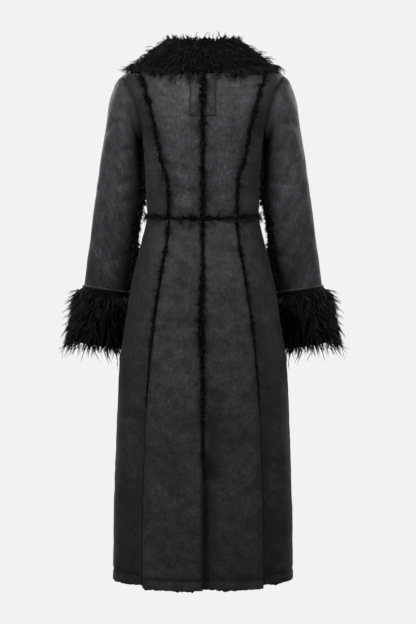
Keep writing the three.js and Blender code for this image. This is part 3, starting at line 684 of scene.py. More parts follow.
def troughShadeDistance(points):   # as near as a seam in the trough beside the lap: painted shade where the fold lies in shadow
    x, height = points[..., 0], points[..., 2]
    low = ease(-height, -troughShade["top"], -troughShade["full"])
    away = x - troughShade["from"]
    across = troughShade["nearPart"] * bump(away, troughShade["near"])
    across = across + troughShade["farPart"] * bump(away, troughShade["reach"])
    across = across * ease(-away, 0, troughShade["edge"])
    uneven = troughShade["even"] + troughShade["uneven"] * softNoise(points, troughShade["unevenSize"])
    return troughShade["seamAt"] - troughShade["depth"] * low * across * (points[..., 1] > 0) * uneven


def clothGrid(pointAt, sign, levels, edgesAt, columns):   # half a seam gap inside the panel's edges
    low, high = (np.asarray(edge, float) * np.ones_like(levels) for edge in edgesAt(levels))
    middle = (low + high) / 2
    width = 2 * np.linalg.norm(pointAt(low, levels) - pointAt(middle, levels), axis=-1)
    inset = (high - low) * coat["seamGap"] / 2 / width
    k = np.linspace(0, 1, columns + 1)
    angle = (low + inset)[:, None] + (high - low - 2 * inset)[:, None] * k
    level = levels[:, None] * np.ones_like(k)
    return pointAt(angle, level), outward(pointAt, angle, level, sign)


# seams: how far each side edge sinks, 0 for an edge that is held where it is and None for one without a seam
def clothPiece(spec, pointAt, sign, levels, edgesAt, columns, creases=(), seams=(1, 1), hem=False,
               endNormals=None, mirrored=False):
    points, normals = clothGrid(pointAt, sign, levels, edgesAt, columns)
    if endNormals:
        for row, along in ((0, levels[0]), (-1, levels[-1])):
            normals[row] = unit(points[row] - endNormals(along))
    across, down = lengthAlong(points, 1), lengthAlong(points, 0)
    # seam holds the distance to the nearest seam; the suede is darkened towards it, partly a dark seam line
    # and partly painted shade
    seam = np.full(points.shape[:2], cloth["noSeam"])
    free, dip = np.ones(points.shape[:2]), np.zeros(points.shape[:2])
    for sinks, gap in zip(seams, (across, across[:, -1:] - across)):
        if sinks is not None:
            sinks = np.reshape(sinks, (-1, 1))
            seam = np.minimum(seam, gap * np.where(sinks > 0, 1, cloth["heldSeam"]))
            free *= np.where(sinks > 0, 1, ease(gap, 0, cloth["seamHeld"]))
            dip += sinks * cloth["seamDip"] * bump(gap, cloth["seamWidth"])
    relief = sum(height * softNoise(points, size) for size, height in cloth["lumps"])
    pucker = softNoise(points, cloth["puckerLength"], 7.3) * cloth["pucker"]
    pucker = pucker * bump(seam, cloth["puckerReach"])
    relief = relief * ease(seam, *cloth["flatAtSeam"]) + pucker + creaseRelief(points, pointAt, creases)
    relief = relief * free - dip
    toFoot = down[-1:] - down
    if hem:
        toStitch = toFoot - cloth["hemStitch"]
        relief -= cloth["hemGroove"] * bump(toStitch, cloth["hemGrooveWidth"])
        # painted shadow along the groove above the hem, and painted shade in the trough beside the lap
        seam = np.minimum(seam, np.abs(toStitch) * cloth["hemGrooveShade"])
        seam = np.minimum(seam, troughShadeDistance(points))
    if endNormals:
        relief *= ease(down, *cloth["flatAtHead"]) * ease(toFoot, *cloth["flatAtFoot"])
        # a dark line just below the sleeve head: painted shade standing for the shadow in the armhole seam's
        # groove
        seam = np.minimum(seam, np.abs(down - cloth["headSeam"]) * cloth["heldSeam"])
    outer = points + normals * relief[..., None]
    inner = outer - normals * coat["wall"]
    if mirrored:
        outer, inner = mirror(outer), mirror(inner)
    fromMiddle = across - across[:, -1:] / 2
    clothMap = np.stack([fromMiddle + spec["mapShift"], down, 0 * down], -1)
    turned = (sign < 0) != mirrored
    piece = shellPiece(spec["name"], outer, inner, turned, clothMap, seam, [spec["finish"], "fleece"])
    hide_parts(spec["node"])
    return outer


def evenLevels(low, high, step):
    return np.linspace(low, high, max(2, round((high - low) / step) + 1))


def bodiceLevels():   # closer together where the armhole turns
    half = coat["seamGap"] / 2
    steps = 34
    arc = armholeMiddle - armholeHalf * np.cos(np.pi * np.arange(steps + 1) / steps)
    below = evenLevels(half, arc[0], cloth["step"])[:-1]
    above = evenLevels(arc[-1], coat["neck"], cloth["step"])[1:]
    return np.concatenate([below, arc, above])


def outerEdge(rise):
    part = np.minimum(np.abs(rise - armholeMiddle) / armholeHalf, 1)
    return 90 + coat["armholeSpread"] * np.sqrt(1 - part * part)


def princessAngle(rise):
    ring = rowAt(bodiceRings, "rise", rise)
    angle = angleAt(ring, rowAt(princessLine, "height", ring["sideZ"])["fromCentre"])
    for _ in range(3):
        height = bodicePoint(angle, rise)[..., 2]
        angle = angleAt(ring, rowAt(princessLine, "height", height)["fromCentre"])
    return angle


def skirtPrincessAngle(drop):
    ring = rowAt(skirtRings, "drop", drop)
    return angleAt(ring, rowAt(princessLine, "height", coat["waist"] - drop)["fromCentre"])


def frontEdge(ring, side):
    return frontAngleAt(ring, -frontLap["under"] if side > 0 else -frontLap["over"])


def onSide(side, angle):
    return angle if side > 0 else 360 - angle


# creases: angle and level where one starts, then where it stops, half width and depth
bodiceCreases = {
    "back": (
        (166, 0.165, 178, 0.150, 0.006, -0.0014),
        (156, 0.120, 168, 0.095, 0.008, -0.0012),
        (150, 0.040, 172, 0.060, 0.007, -0.0014),
        (152, 0.018, 170, 0.030, 0.006, 0.0012),
        (150, 0.300, 165, 0.250, 0.012, -0.0016),
    ),
    "sideBack": (
        (104, 0.170, 126, 0.120, 0.009, -0.0022),
        (98, 0.120, 124, 0.080, 0.009, -0.0018),
        (98, 0.030, 128, 0.045, 0.007, -0.0016),
        (112, 0.230, 124, 0.185, 0.008, -0.0016),
        (127, 0.285, 120.5, 0.220, 0.004, -0.0020),
    ),
    "front": (
        (66, 0.200, 30, 0.150, 0.012, -0.0024),
        (80, 0.120, 40, 0.090, 0.009, -0.0018),
        (80, 0.030, 30, 0.050, 0.007, -0.0016),
        (52, 0.330, 28, 0.260, 0.012, -0.0020),
    ),
}
skirtCreases = {
    "back": (
        (158, 0.030, 150, 0.160, 0.010, -0.0018),
        (168, 0.060, 164, 0.260, 0.012, -0.0018),
        (150, 0.300, 146, 0.560, 0.012, 0.0022),
        (166, 0.420, 166, 0.800, 0.014, -0.0024),
        (160, 0.640, 158, 0.880, 0.010, 0.0020),
    ),
    "sideBack": (
        (112, 0.020, 104, 0.200, 0.011, -0.0022),
        (122, 0.160, 120, 0.460, 0.013, -0.0024),
        (102, 0.300, 100, 0.680, 0.014, -0.0026),
        (128, 0.520, 126, 0.860, 0.012, 0.0024),
    ),
    "front": (
        (70, 0.020, 62, 0.220, 0.011, -0.0022),
        (48, 0.060, 44, 0.320, 0.013, -0.0022),
        (24, 0.260, 22, 0.640, 0.014, -0.0024),
        (56, 0.420, 54, 0.820, 0.014, 0.0026),
    ),
}
sleeveCreases = {
    "upper": (
        (96, 2.6, 28, 4.2, 0.010, -0.0032),
        (124, 3.7, 84, 4.6, 0.009, -0.0038),
        (128, 5.3, 70, 6.0, 0.010, -0.0038),
        (128, 6.1, 98, 6.4, 0.008, -0.0032),
        (-96, 5.0, -40, 5.7, 0.010, -0.0042),
        (-100, 5.9, -50, 6.2, 0.009, -0.0038),
        (60, 7.4, 10, 8.3, 0.011, -0.0026),
        (124, 8.2, 70, 8.9, 0.009, -0.0029),
    ),
    "under": (
        (176, 2.8, 235, 3.4, 0.009, -0.0026),
        (176, 5.1, 240, 5.5, 0.009, -0.0028),
        (176, 6.0, 246, 6.1, 0.008, -0.0024),
        (178, 8.0, 230, 8.4, 0.009, -0.0020),
    ),
}


slots = {"cloth": "cloth", "clothSide": "cloth_side"}


def clothSpec(part, garment, word, finish, shift):   # the shift gives each panel its own part of the pattern
    return {"name": f"{part}{garment.capitalize()}{word.capitalize()}",
            "node": f"{part.replace('sideBack', 'side_back')}_{garment}_{word}",
            "finish": finish, "slot": slots[finish], "mapShift": shift}


def makeBodice(side, word):
    narrowest = 0.3   # degrees, at the tip of the side back

    def pointAt(angle, rise):
        return bodicePoint(onSide(side, angle), rise, side)

    def backEdges(rise):
        return np.maximum(princessAngle(rise), outerEdge(rise)), 180

    def sideEdges(rise):
        return outerEdge(rise), princessAngle(rise)

    def frontEdges(rise):
        return frontEdge(rowAt(bodiceRings, "rise", rise), side), 180 - outerEdge(rise)

    levels = bodiceLevels()
    wide = princessAngle(levels) - outerEdge(levels)
    sideLevels = levels[(wide > narrowest) & (levels < armholeMiddle + armholeHalf)]
    for part, finish, rows, edges, columns, seams, shift in (
            ("back", "cloth", levels, backEdges, 18, (np.where(wide > 0, 1, 0), 1), 0.3 * side),
            ("sideBack", "clothSide", sideLevels, sideEdges, 12, (0, 1), 1.7 + side),
            ("front", "cloth", levels, frontEdges, 30, (None, 0), 3.1 + side)):
        clothPiece(clothSpec(part, "bodice", word, finish, shift), pointAt, side, rows, edges, columns,
                   bodiceCreases[part], seams)


def makeSkirt(side, word):
    def pointAt(angle, drop):
        return skirtPoint(onSide(side, angle), drop, side)

    def backEdges(drop):
        ring = rowAt(skirtRings, "drop", drop)
        tucked = ease(drop, coat["waist"] - lap["tuckFrom"], coat["waist"] - lap["tuckTo"])
        under = lap["under"] * tucked if side < 0 else 0 * tucked
        return skirtPrincessAngle(drop), 360 - angleAt(ring, under)

    def sideEdges(drop):
        return 90, skirtPrincessAngle(drop)

    def frontEdges(drop):
        return frontEdge(rowAt(skirtRings, "drop", drop), side), 90

    hems = []
    for part, finish, hem, edges, columns, seams, shift in (
            ("back", "cloth", "hemBack", backEdges, 22, (1, 1), 0.4),
            ("sideBack", "clothSide", "hemSide", sideEdges, 24, (0, 1), 2.2),
            ("front", "cloth", "hemFront", frontEdges, 32, (None, 0), 4.3)):
        levels = evenLevels(coat["seamGap"] / 2, coat["waist"] - coat[hem], cloth["step"])
        spec = clothSpec(part, "skirt", word, finish, shift + side)
        creases = skirtCreases[part]
        hems.append(clothPiece(spec, pointAt, -side, levels, edges, columns, creases, seams, hem=True))
    return hems


def makeSleeve(side, word):
    head = np.linspace(-sleeve["tuckedIn"], 1, 10)[:-1]
    levels = np.concatenate([head, np.linspace(1, sleeve["end"] - sleeve["footGap"], 84)])
    for part, low, high, columns, finish, shift in (
            ("upper", sleeve["foreArm"] - 360, sleeve["hindArm"], 50, "cloth", 5.5),
            ("under", sleeve["hindArm"], sleeve["foreArm"], 22, "clothSide", 6.6)):
        spec = clothSpec(part, "sleeve", word, finish, shift + side)
        clothPiece(spec, sleevePoint, -1, levels, lambda along: (low, high), columns,
                   sleeveCreases[part], (0, 0), endNormals=sleeveMiddle, mirrored=side < 0)


# Fur
def combine(parts):   # parts of a piece: points, faces, the material of each face and values at the points
    starts = np.cumsum([0] + [len(part["points"]) for part in parts])
    quads = [part["quads"] + start for part, start in zip(parts, starts)]
    triangles = [part["triangles"] + start for part, start in zip(parts, starts)]
    faces = np.concatenate(quads).tolist() + np.concatenate(triangles).tolist()
    kinds = [np.full(len(part[shape]), part["kind"]) for shape in ("quads", "triangles") for part in parts]
    values = {key: np.concatenate([part[key] for part in parts]) for key in ("along", "tone")}
    return np.concatenate([part["points"] for part in parts]), faces, np.concatenate(kinds), values


lock = {   # how curl, clump and taper grow towards the tips, and how far locks and strands differ in tone
    "curlGrows": 0.6, "clumpGrows": 0.7, "taper": 0.8, "taperGrows": 1.3, "thickness": (0.7, 1.25),
    "lockTone": 0.45, "strandTone": 0.55,
}


def growLocks(spots, fur, seed, kind):
    draw = np.random.default_rng(seed)
    count, strands, rings = len(spots["root"]), fur["strands"], fur["rings"]
    out, lean = unit(spots["out"]), unit(spots["lean"])
    length = draw.uniform(*fur["length"], count) * spots.get("longer", 1.0)
    side = unit(np.cross(out, lean) + 1e-4)
    s = np.linspace(0, 1, rings + 1)
    turned = ease(s[None, :], 0, fur["bendBy"]) * np.ones((count, 1))
    way = unit(out[:, None] * (1 - turned)[..., None] + lean[:, None] * turned[..., None])
    steps = way * (length / rings)[:, None, None]
    guide = np.concatenate([np.zeros((count, 1, 3)), np.cumsum(steps[:, 1:], 1)], 1)
    third = unit(np.cross(way, side[:, None]))
    phase = draw.uniform(0, 2 * np.pi, (count, 1))
    turns = draw.uniform(*fur["turns"], (count, 1)) * draw.choice((-1, 1), (count, 1))
    curl = draw.uniform(*fur["curl"], (count, 1)) * s ** lock["curlGrows"]
    wave = 2 * np.pi * turns * s + phase
    curled = (np.cos(wave) - np.cos(phase))[..., None] * side[:, None]
    curled = curled + (np.sin(wave) - np.sin(phase))[..., None] * third
    guide = guide + curled * curl[..., None]
    radius = fur["tuft"] * np.sqrt(draw.uniform(0, 1, (count, strands)))
    around = draw.uniform(0, 2 * np.pi, (count, strands))
    aside = unit(np.cross(out, side))[:, None]
    offset = np.cos(around)[..., None] * side[:, None] + np.sin(around)[..., None] * aside
    offset = radius[..., None] * offset
    shrink = draw.uniform(fur["shortest"], 1, (count, strands))
    fray = draw.normal(0, fur["fray"], (count, strands, 3))
    place = shrink[..., None] * s * rings
    low = np.minimum(place.astype(int), rings - 1)
    part = (place - low)[..., None]
    each = np.arange(count)[:, None, None]
    line = guide[each, low] * (1 - part) + guide[each, low + 1] * part
    closing = 1 - fur["clump"] * s ** lock["clumpGrows"]
    line = line + offset[:, :, None] * closing[:, None] + fray[:, :, None] * (s ** 2)[:, None]
    line = line + spots["root"][:, None, None]
    taper = 1 - lock["taper"] * s[:-1] ** lock["taperGrows"]
    thick = fur["thick"] * draw.uniform(*lock["thickness"], (count, strands, 1)) * taper
    corner = np.arange(3) * 2 * np.pi / 3 + draw.uniform(0, 2, (count, strands, 1, 1))
    section = np.cos(corner)[..., None] * side[:, None, None, None]
    section = section + np.sin(corner)[..., None] * third[:, None, :-1, None]
    tube = line[:, :, :-1, None] + section * thick[..., None, None]
    every = count * strands
    tube = tube.reshape(every, rings * 3, 3)
    points = np.concatenate([tube, line[:, :, -1:].reshape(every, 1, 3)], 1)
    size = rings * 3 + 1
    base = (np.arange(every) * size)[:, None, None]
    quads = [[3 * i + j, 3 * i + (j + 1) % 3, 3 * i + 3 + (j + 1) % 3, 3 * i + 3 + j]
             for i in range(rings - 1) for j in range(3)]
    end = 3 * (rings - 1)
    triangles = [[end + j, end + (j + 1) % 3, end + 3] for j in range(3)] + [[2, 1, 0]]
    tone = draw.uniform(0, 1, (count, 1)) * lock["lockTone"]
    tone = tone + draw.uniform(0, 1, (count, strands)) ** 3 * lock["strandTone"]
    along = np.concatenate([np.repeat(s[:-1], 3), [1.0]])
    return {"points": points.reshape(-1, 3), "kind": kind,
            "quads": (base + np.array(quads)).reshape(-1, 4),
            "triangles": (base + np.array(triangles)).reshape(-1, 3),
            "along": np.tile(along, every), "tone": np.repeat(tone.ravel(), size)}


def bentSurface(points, joined, kind):   # a closed skin through loops of points
    loops, count = points.shape[:2]
    at = np.arange(loops * count).reshape(loops, count)
    if joined:
        at = np.concatenate([at, at[:1]])
    wrapped = np.concatenate([at, at[:, :1]], 1)
    quads = np.stack([wrapped[:-1, :-1], wrapped[:-1, 1:], wrapped[1:, 1:], wrapped[1:, :-1]], -1)
    quads = quads.reshape(-1, 4)
    triangles = np.zeros((0, 3), int)
    flat = points.reshape(-1, 3)
    if not joined:
        centres = points[[0, -1]].mean(1)
        flat = np.concatenate([flat, centres])
        first = np.stack([at[0], np.full(count, loops * count), np.roll(at[0], -1)], -1)
        last = np.stack([at[-1], np.roll(at[-1], -1), np.full(count, loops * count + 1)], -1)
        triangles = np.concatenate([first, last])
    a, b, c, d = (flat[quads[:, k]] for k in range(4))
    volume = (a * (np.cross(b, c) + np.cross(c, d))).sum()
    if volume < 0:
        quads, triangles = quads[:, ::-1], triangles[:, ::-1]
    return {"points": flat, "quads": quads, "triangles": triangles, "kind": kind,
            "along": np.full(len(flat), 0.2), "tone": np.full(len(flat), 0.3)}


def furPiece(name, parts, paints, node=None):
    points, faces, kinds, values = combine(parts)
    piece = newPiece(name, points, faces, paints, kinds, values)
    if node:
        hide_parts(node)
    print(name, sum(len(face) - 2 for face in faces), "triangles")


cuffShape = {
    "down": (0, 0.012, 0.045, 0.092, 0.138, 0.172),
    "reach": (0.006, 0.023, 0.029, 0.031, 0.036, 0.027),
}
cuff = {
    "bodyTurn": 155, "towardsBody": 0.34, "skin": 0.54, "skinFrom": 0.0006, "skinTo": 0.146,
    "secondRow": 0.006, "rows": 22, "columns": 96, "lobes": 7, "lobeDepth": 0.10, "lobeTurn": 40,
    "lumpSize": 0.011, "lumps": 0.0028, "furFrom": 0.004, "rootPart": 0.9, "lean": 0.95, "lessLean": 0.65,
    "drooped": 0.5,
}
cuffInner = {   # inner face of the pelt: distance down the sleeve, and reach past the sleeve's outer face
    "down": (cuff["skinTo"] - 0.004, 0.08, 0.001, -0.007),
    "reach": (-0.007, -0.007, -0.007, -0.0036),
}
cuffFur = {
    "locks": 900, "strands": 5, "rings": 4, "length": (0.022, 0.040), "bendBy": 0.4, "curl": (0.001, 0.003),
    "turns": (0.4, 1.1), "tuft": 0.0042, "clump": 0.7, "fray": 0.0018, "shortest": 0.55, "thick": 0.00084,
    "furTo": 0.150, "spread": 0.16,
}
cuffWisps = {
    "locks": 280, "strands": 4, "rings": 5, "length": (0.032, 0.054), "bendBy": 0.5, "curl": (0.0008, 0.0032),
    "turns": (0.3, 0.9), "tuft": 0.0016, "clump": 0.9, "fray": 0.0007, "shortest": 0.75, "thick": 0.00062,
    "furTo": 0.156, "spread": 0.24,
}


def cuffSurface(turn, down, share=1.0):
    facing = np.maximum(np.cos(np.radians(turn - cuff["bodyTurn"])), 0)
    less = 1 - (1 - cuff["towardsBody"]) * facing
    lobe = 1 + cuff["lobeDepth"] * np.sin(np.radians(cuff["lobes"] * turn + cuff["lobeTurn"]))
    return cuffPoint(turn, down, rowAt(cuffShape, "down", down)["reach"] * less * lobe * share)


def makeCuff(side, word):
    turns = np.linspace(0, 360, cuff["columns"] + 1)[:-1]
    downs = np.linspace(cuff["secondRow"], cuff["skinTo"], cuff["rows"])
    downs = np.concatenate([[cuff["skinFrom"]], downs])
    outside = cuffSurface(turns[:, None], downs[None, :], cuff["skin"])
    centre = sleeveMiddle(sleeve["end"])
    lumps = softNoise(outside, cuff["lumpSize"], 2.1) * cuff["lumps"] * ease(downs, 0, 0.02)
    fromCentre = outside - centre
    radial = unit(fromCentre - cuffDown * (fromCentre @ cuffDown)[..., None])
    outside = outside + radial * lumps[..., None]
    inner = cuffPoint(turns[:, None], *(np.array(column)[None, :] for column in cuffInner.values()))
    parts = [bentSurface(np.concatenate([outside, inner], 1), True, 0)]
    for fur, seed in ((cuffFur, 21), (cuffWisps, 25)):
        draw = np.random.default_rng(seed)
        count = fur["locks"]
        turn = draw.uniform(0, 360, count)
        down = cuff["furFrom"] + (fur["furTo"] - cuff["furFrom"]) * draw.uniform(0, 1, count) ** 0.9
        root = cuffSurface(turn, down, cuff["skin"] * cuff["rootPart"])
        out = unit(root - centre - cuffDown * down[:, None])
        outwards = cuff["lean"] - cuff["lessLean"] * ease(down, 0.02, 0.14)
        outwards = outwards * draw.uniform(0.5, 1.1, count)
        lean = cuffDown + out * outwards[:, None] + draw.normal(0, fur["spread"], (count, 3))
        spots = {"root": root, "out": out + cuffDown * cuff["drooped"], "lean": lean}
        parts.append(growLocks(spots, fur, seed + 1, 1))
    if side < 0:
        for part in parts:
            mirrorPart(part)
    furPiece(f"furCuff{word.capitalize()}", parts, ["pelt", "fur"], f"cuff_{word}")


collarShape = {"part": (0, 0.25, 0.5, 0.75, 1), "height": (0.008, 0.019, 0.029, 0.036, 0.042)}
collar = {
    "end": 11, "back": 0.356, "side": 0.378, "front": 0.262, "lift": 0.0012, "top": 0.044, "topOut": 0.016,
    "inner": 0.024, "innerOut": 0.004, "skin": 0.72, "fuller": 0.55, "lobes": 11, "lobeDepth": 0.10,
    "topLobes": 0.3, "topRagged": 0.22, "overNeck": 1.3, "neckGap": 0.0015, "edgeWaves": 0.006,
    "lumpSize": 0.011, "lumps": 0.003, "darker": 0.6, "droop": 0.50, "sweep": 9, "spread": 0.36,
    "cornerFrom": 0.045, "cornerTo": 0.080, "hang": 0.85, "hangOut": 0.25,
    "rows": 20, "columns": 181, "under": (1, 0.8, 0.6, 0.4, 0.2, 0.0), "underGap": 0.001, "rootPart": 0.92,
    "edgeBand": 0.07, "topBand": 1.1, "puffed": 0.3,
}
collarFur = {
    "locks": 1020, "strands": 6, "rings": 4, "length": (0.018, 0.034), "bendBy": 0.5,
    "curl": (0.0015, 0.0040), "turns": (0.5, 1.2), "tuft": 0.0042, "clump": 0.7, "fray": 0.0022,
    "shortest": 0.55, "thick": 0.0007,
    "atEdge": 0.34, "atTop": 0.17, "topLength": 0.50, "topLean": (0.3, 0.7),
}
collarWisps = {
    "locks": 210, "strands": 4, "rings": 5, "length": (0.026, 0.044), "bendBy": 0.6, "curl": (0.0014, 0.0048),
    "turns": (0.4, 1.0), "tuft": 0.0016, "clump": 0.88, "fray": 0.0009, "shortest": 0.75, "thick": 0.00065,
    "atEdge": 0.36, "atTop": 0.22, "topLength": 0.85, "topLean": (0.2, 0.9),
}


def collarEdgeRise(angle):
    c = -np.cos(np.radians(angle))
    return collar["side"] + (np.where(c > 0, collar["back"], collar["front"]) - collar["side"]) * c * c


# part runs from the lower edge, 0, over the neck, 1, to the top
def collarSurface(angle, part, share=1.0):
    angle, part = np.broadcast_arrays(np.asarray(angle, float), part)
    low = collarEdgeRise(angle)
    waves = np.sin(np.radians(angle * 13)) * 0.6 + np.sin(np.radians(angle * 31 + 40)) * 0.4
    low = low - collar["edgeWaves"] * waves * (1 - ease(part, 0, 0.3))
    rise = low + np.minimum(part, 1) * (coat["neck"] - collar["neckGap"] - low)
    lobe = 1 + collar["lobeDepth"] * np.sin(np.radians(collar["lobes"] * angle))
    share = share * (1 + collar["fuller"] * np.sin(np.radians(angle)) ** 2)
    height = rowAt(collarShape, "part", np.minimum(part, 1))["height"] * lobe * share
    point = bodicePoint(angle, rise) + outward(bodicePoint, angle, rise, 1) * height[..., None]
    neck = bodicePoint(angle, coat["neck"])
    out = unit(neck * np.array([1, 1, 0]))
    ragged = np.sin(np.radians(angle * 37)) * np.sin(np.radians(angle * 23 + 50))
    level = 1 + collar["topLobes"] * (lobe - 1) + collar["topRagged"] * ragged
    top = neck + out * collar["topOut"] + np.array([0, 0, 1]) * (collar["top"] * level * share)[..., None]
    t = ease(part, 1, collar["overNeck"])[..., None]
    return point * (1 - t) + top * t


def makeCollar():
    angles = np.linspace(collar["end"], 360 - collar["end"], collar["columns"])
    partsUp = np.linspace(0, collar["overNeck"], collar["rows"])
    outside = collarSurface(angles[:, None], partsUp[None, :], collar["skin"])
    lumps = softNoise(outside, collar["lumpSize"], 4.4) * collar["lumps"] * ease(partsUp, 0, 0.1)
    around, upwards = np.meshgrid(angles, np.clip(partsUp, 0.02, 0.95), indexing="ij")
    outside = outside + outward(collarSurface, around, upwards, 1) * lumps[..., None]
    neck = bodicePoint(angles, coat["neck"])
    out = unit(neck * np.array([1, 1, 0]))
    inner = neck + out * collar["innerOut"] + np.array([0, 0, collar["inner"] * collar["skin"]])
    low = collarEdgeRise(angles)
    under = []
    for t in collar["under"]:
        rise = low + (coat["neck"] - collar["underGap"] - low) * t
        under.append(bodicePoint(angles, rise) + outward(bodicePoint, angles, rise, 1) * collar["lift"])
    parts = [bentSurface(np.concatenate([outside, np.stack([inner] + under, 1)], 1), False, 0)]
    down = np.array([0, 0, -1.0])
    for fur, seed in ((collarFur, 31), (collarWisps, 35)):
        draw = np.random.default_rng(seed)
        count = fur["locks"]
        angle = draw.uniform(collar["end"], 360 - collar["end"], count)
        choice = draw.uniform(0, 1, count)
        part = collar["overNeck"] * draw.uniform(0, 1, count)
        part = np.where(choice < fur["atEdge"], draw.uniform(0, collar["edgeBand"], count), part)
        atTop = draw.uniform(collar["topBand"], collar["overNeck"], count)
        part = np.where(choice > 1 - fur["atTop"], atTop, part)
        root = collarSurface(angle, part, collar["skin"] * collar["rootPart"])
        out = outward(collarSurface, angle, np.clip(part, 0.02, 0.98), 1)
        radial = unit(root * np.array([1, 1, 0]))
        upward = ease(part, 0.95, 1.25)[:, None]
        sideways = root * np.array([collar["sweep"], 0, 0]) * (0.25 + 0.75 * ease(part, 0, 0.3))[:, None]
        hanging = down * collar["hang"] + sideways + radial * collar["hangOut"]
        outAtTop, upAtTop = fur["topLean"]
        lean = (1 - upward) * hanging + upward * (radial * outAtTop - down * upAtTop)
        lean = lean + draw.normal(0, collar["spread"], (count, 3))
        atCorner = ease(np.abs(root[:, 0]), collar["cornerFrom"], collar["cornerTo"])
        behind = ease(root[:, 1], 0, 0.03)
        longer = 1 - ease(part, 1, 1.12) * (1 - fur["topLength"] * (1 - (0.25 + 0.35 * behind) * atCorner))
        droop = ease(-part, -0.10, 0) * ease(-np.cos(np.radians(angle)), 0.75, 0.98)
        longer = longer * (1 + collar["droop"] * droop)
        spots = {"root": root, "out": out + radial * collar["puffed"], "lean": lean, "longer": longer}
        parts.append(growLocks(spots, fur, seed + 1, 1))
    for part in parts:
        part["tone"] = part["tone"] * collar["darker"]
    furPiece("furCollar", parts, ["pelt", "fur"], "collar")


# Fur strips in the seams
stripFur = {
    "strands": 3, "rings": 3, "length": (0.0065, 0.0125), "bendBy": 0.7, "curl": (0.0006, 0.0022),
    "turns": (0.3, 0.9), "tuft": 0.0017, "clump": 0.7, "fray": 0.0012, "shortest": 0.55, "thick": 0.00048,
}
sleeveFur = {
    "strands": 4, "rings": 3, "length": (0.0110, 0.0190), "bendBy": 0.5, "curl": (0.0008, 0.0026),
    "turns": (0.3, 0.9), "tuft": 0.0030, "clump": 0.55, "fray": 0.0018, "shortest": 0.6, "thick": 0.0008,
}
plushFur = {
    "strands": 3, "rings": 4, "length": (0.006, 0.0115), "bendBy": 0.8, "curl": (0.0014, 0.0030),
    "turns": (0.7, 1.4), "tuft": 0.0018, "clump": 0.6, "fray": 0.0010, "shortest": 0.6, "thick": 0.00048,
}
strip = {
    "rowStep": 0.004, "lumpSize": 0.006, "lumps": 0.7, "tuftSize": 0.009, "tuftFrom": -0.25, "tuftTo": 0.30,
    "narrowest": 0.45, "widest": 1.30, "shortTuft": 0.55, "longTuft": 2.2, "wander": 0.40, "sideways": 1.7,
    "top": 0.0008, "sole": 0.0003, "skinPart": 0.5, "rootPart": 0.35, "spread": 0.4,
}


def tufted(points):   # 0 in the gaps between tufts, 1 on a tuft
    return ease(softNoise(points, strip["tuftSize"], 9.1), strip["tuftFrom"], strip["tuftTo"])


def steady(t):
    return np.ones_like(t)


# place gives point, outward way and sideways way for a part of the length and of the half width
def seamStrip(spec, place, fur, seed, mirrored=False):
    rows = max(12, round(spec["long"] / strip["rowStep"]))
    t = np.linspace(0, 1, rows + 1)
    tt, uu = np.meshgrid(t, np.linspace(-1, 1, 9), indexing="ij")
    spine = place(t, 0 * t)[0]
    width = strip["narrowest"] + (strip["widest"] - strip["narrowest"]) * tufted(spine)
    wander = strip["wander"] * softNoise(spine, strip["tuftSize"], 3.7)
    point, out, _ = place(tt, uu * width[:, None] + wander[:, None])
    height = spec["height"](tt) * strip["skinPart"] * np.sqrt(np.maximum(1 - uu ** 2, 0))
    lumps = 1 + strip["lumps"] * softNoise(point, strip["lumpSize"], 1.3)
    top = point + out * (strip["top"] + height * lumps)[..., None]
    low = point[:, ::-1] + out[:, ::-1] * strip["sole"]
    skin = bentSurface(np.concatenate([top, low[:, 1:-1]], 1), False, 0)
    draw = np.random.default_rng(seed)
    count = round(spec["long"] * spec["locksPerMetre"])
    along, across = draw.uniform(0, 1, count), draw.uniform(-0.9, 0.9, count)
    keep = draw.uniform(0, 1, count) < spec.get("full", steady)(along)
    along, across = along[keep], across[keep]
    root, out, sideways = place(along, across)
    roof = spec["height"](along) * strip["rootPart"] * np.sqrt(1 - across ** 2)
    root = root + out * roof[:, None]
    bias = spec["bias"](along) if "bias" in spec else 0
    lean = sideways * (across * strip["sideways"] + bias)[:, None] + out * 0.5 + np.array([0, 0, -0.4])
    lean = lean + draw.normal(0, strip["spread"], (len(along), 3)) + np.array(spec.get("towards", (0, 0, 0)))
    tufts = strip["shortTuft"] + (strip["longTuft"] - strip["shortTuft"]) * tufted(root)
    tufts = 1 + (tufts - 1) * spec.get("tufts", 1)
    spots = {"root": root, "out": out, "lean": lean, "longer": spec["longer"](along) * tufts}
    parts = [skin, growLocks(spots, fur, seed + 1, 1)]
    if mirrored:
        for part in parts:
            mirrorPart(part)
    furPiece(spec["name"], parts, ["pelt", "seamFur"], spec["node"])


def stripPlace(pointAt, sign, angleOf, spec):
    start, stop = spec["levels"]

    def place(t, u):
        level = start + (stop - start) * t
        angle = angleOf(level)
        middle = pointAt(angle, level)
        perDegree = np.linalg.norm(pointAt(angle + 1, level) - middle, axis=-1)
        spot = angle + u * spec["halfWidth"](t) / perDegree
        point = pointAt(spot, level)
        out = outward(pointAt, spot, level, sign)
        sideways = unit(pointAt(spot + 0.5, level) - pointAt(spot - 0.5, level))
        return point, out, sideways
    return place


waistGap = 0.0065
underCollar = 0.0005
seamStrips = {
    "princess": {"halfWidth": 0.0048, "height": 0.0050, "locksPerMetre": 1050, "foot": -0.860,
                 "collarAngle": 150},
    "centre": {"halfWidth": 0.0068, "height": 0.0064, "locksPerMetre": 1350, "foot": -0.985,
               "patchLift": 0.0022},
    "waist": {"halfWidth": 0.0042, "height": 0.0050, "locksPerMetre": 1100, "edge": 1.2, "endGap": 0.2,
              "long": 0.74, "upturn": 0.25},
    "sleeve": {"halfWidth": 0.0085, "height": 0.0075, "locksPerMetre": 2200, "levels": (0.5, 9.75),
               "long": 0.47, "turned": 18, "turnedLow": 3, "bare": 0.685, "bareReach": 0.088,
               "crowded": 0.45},
}


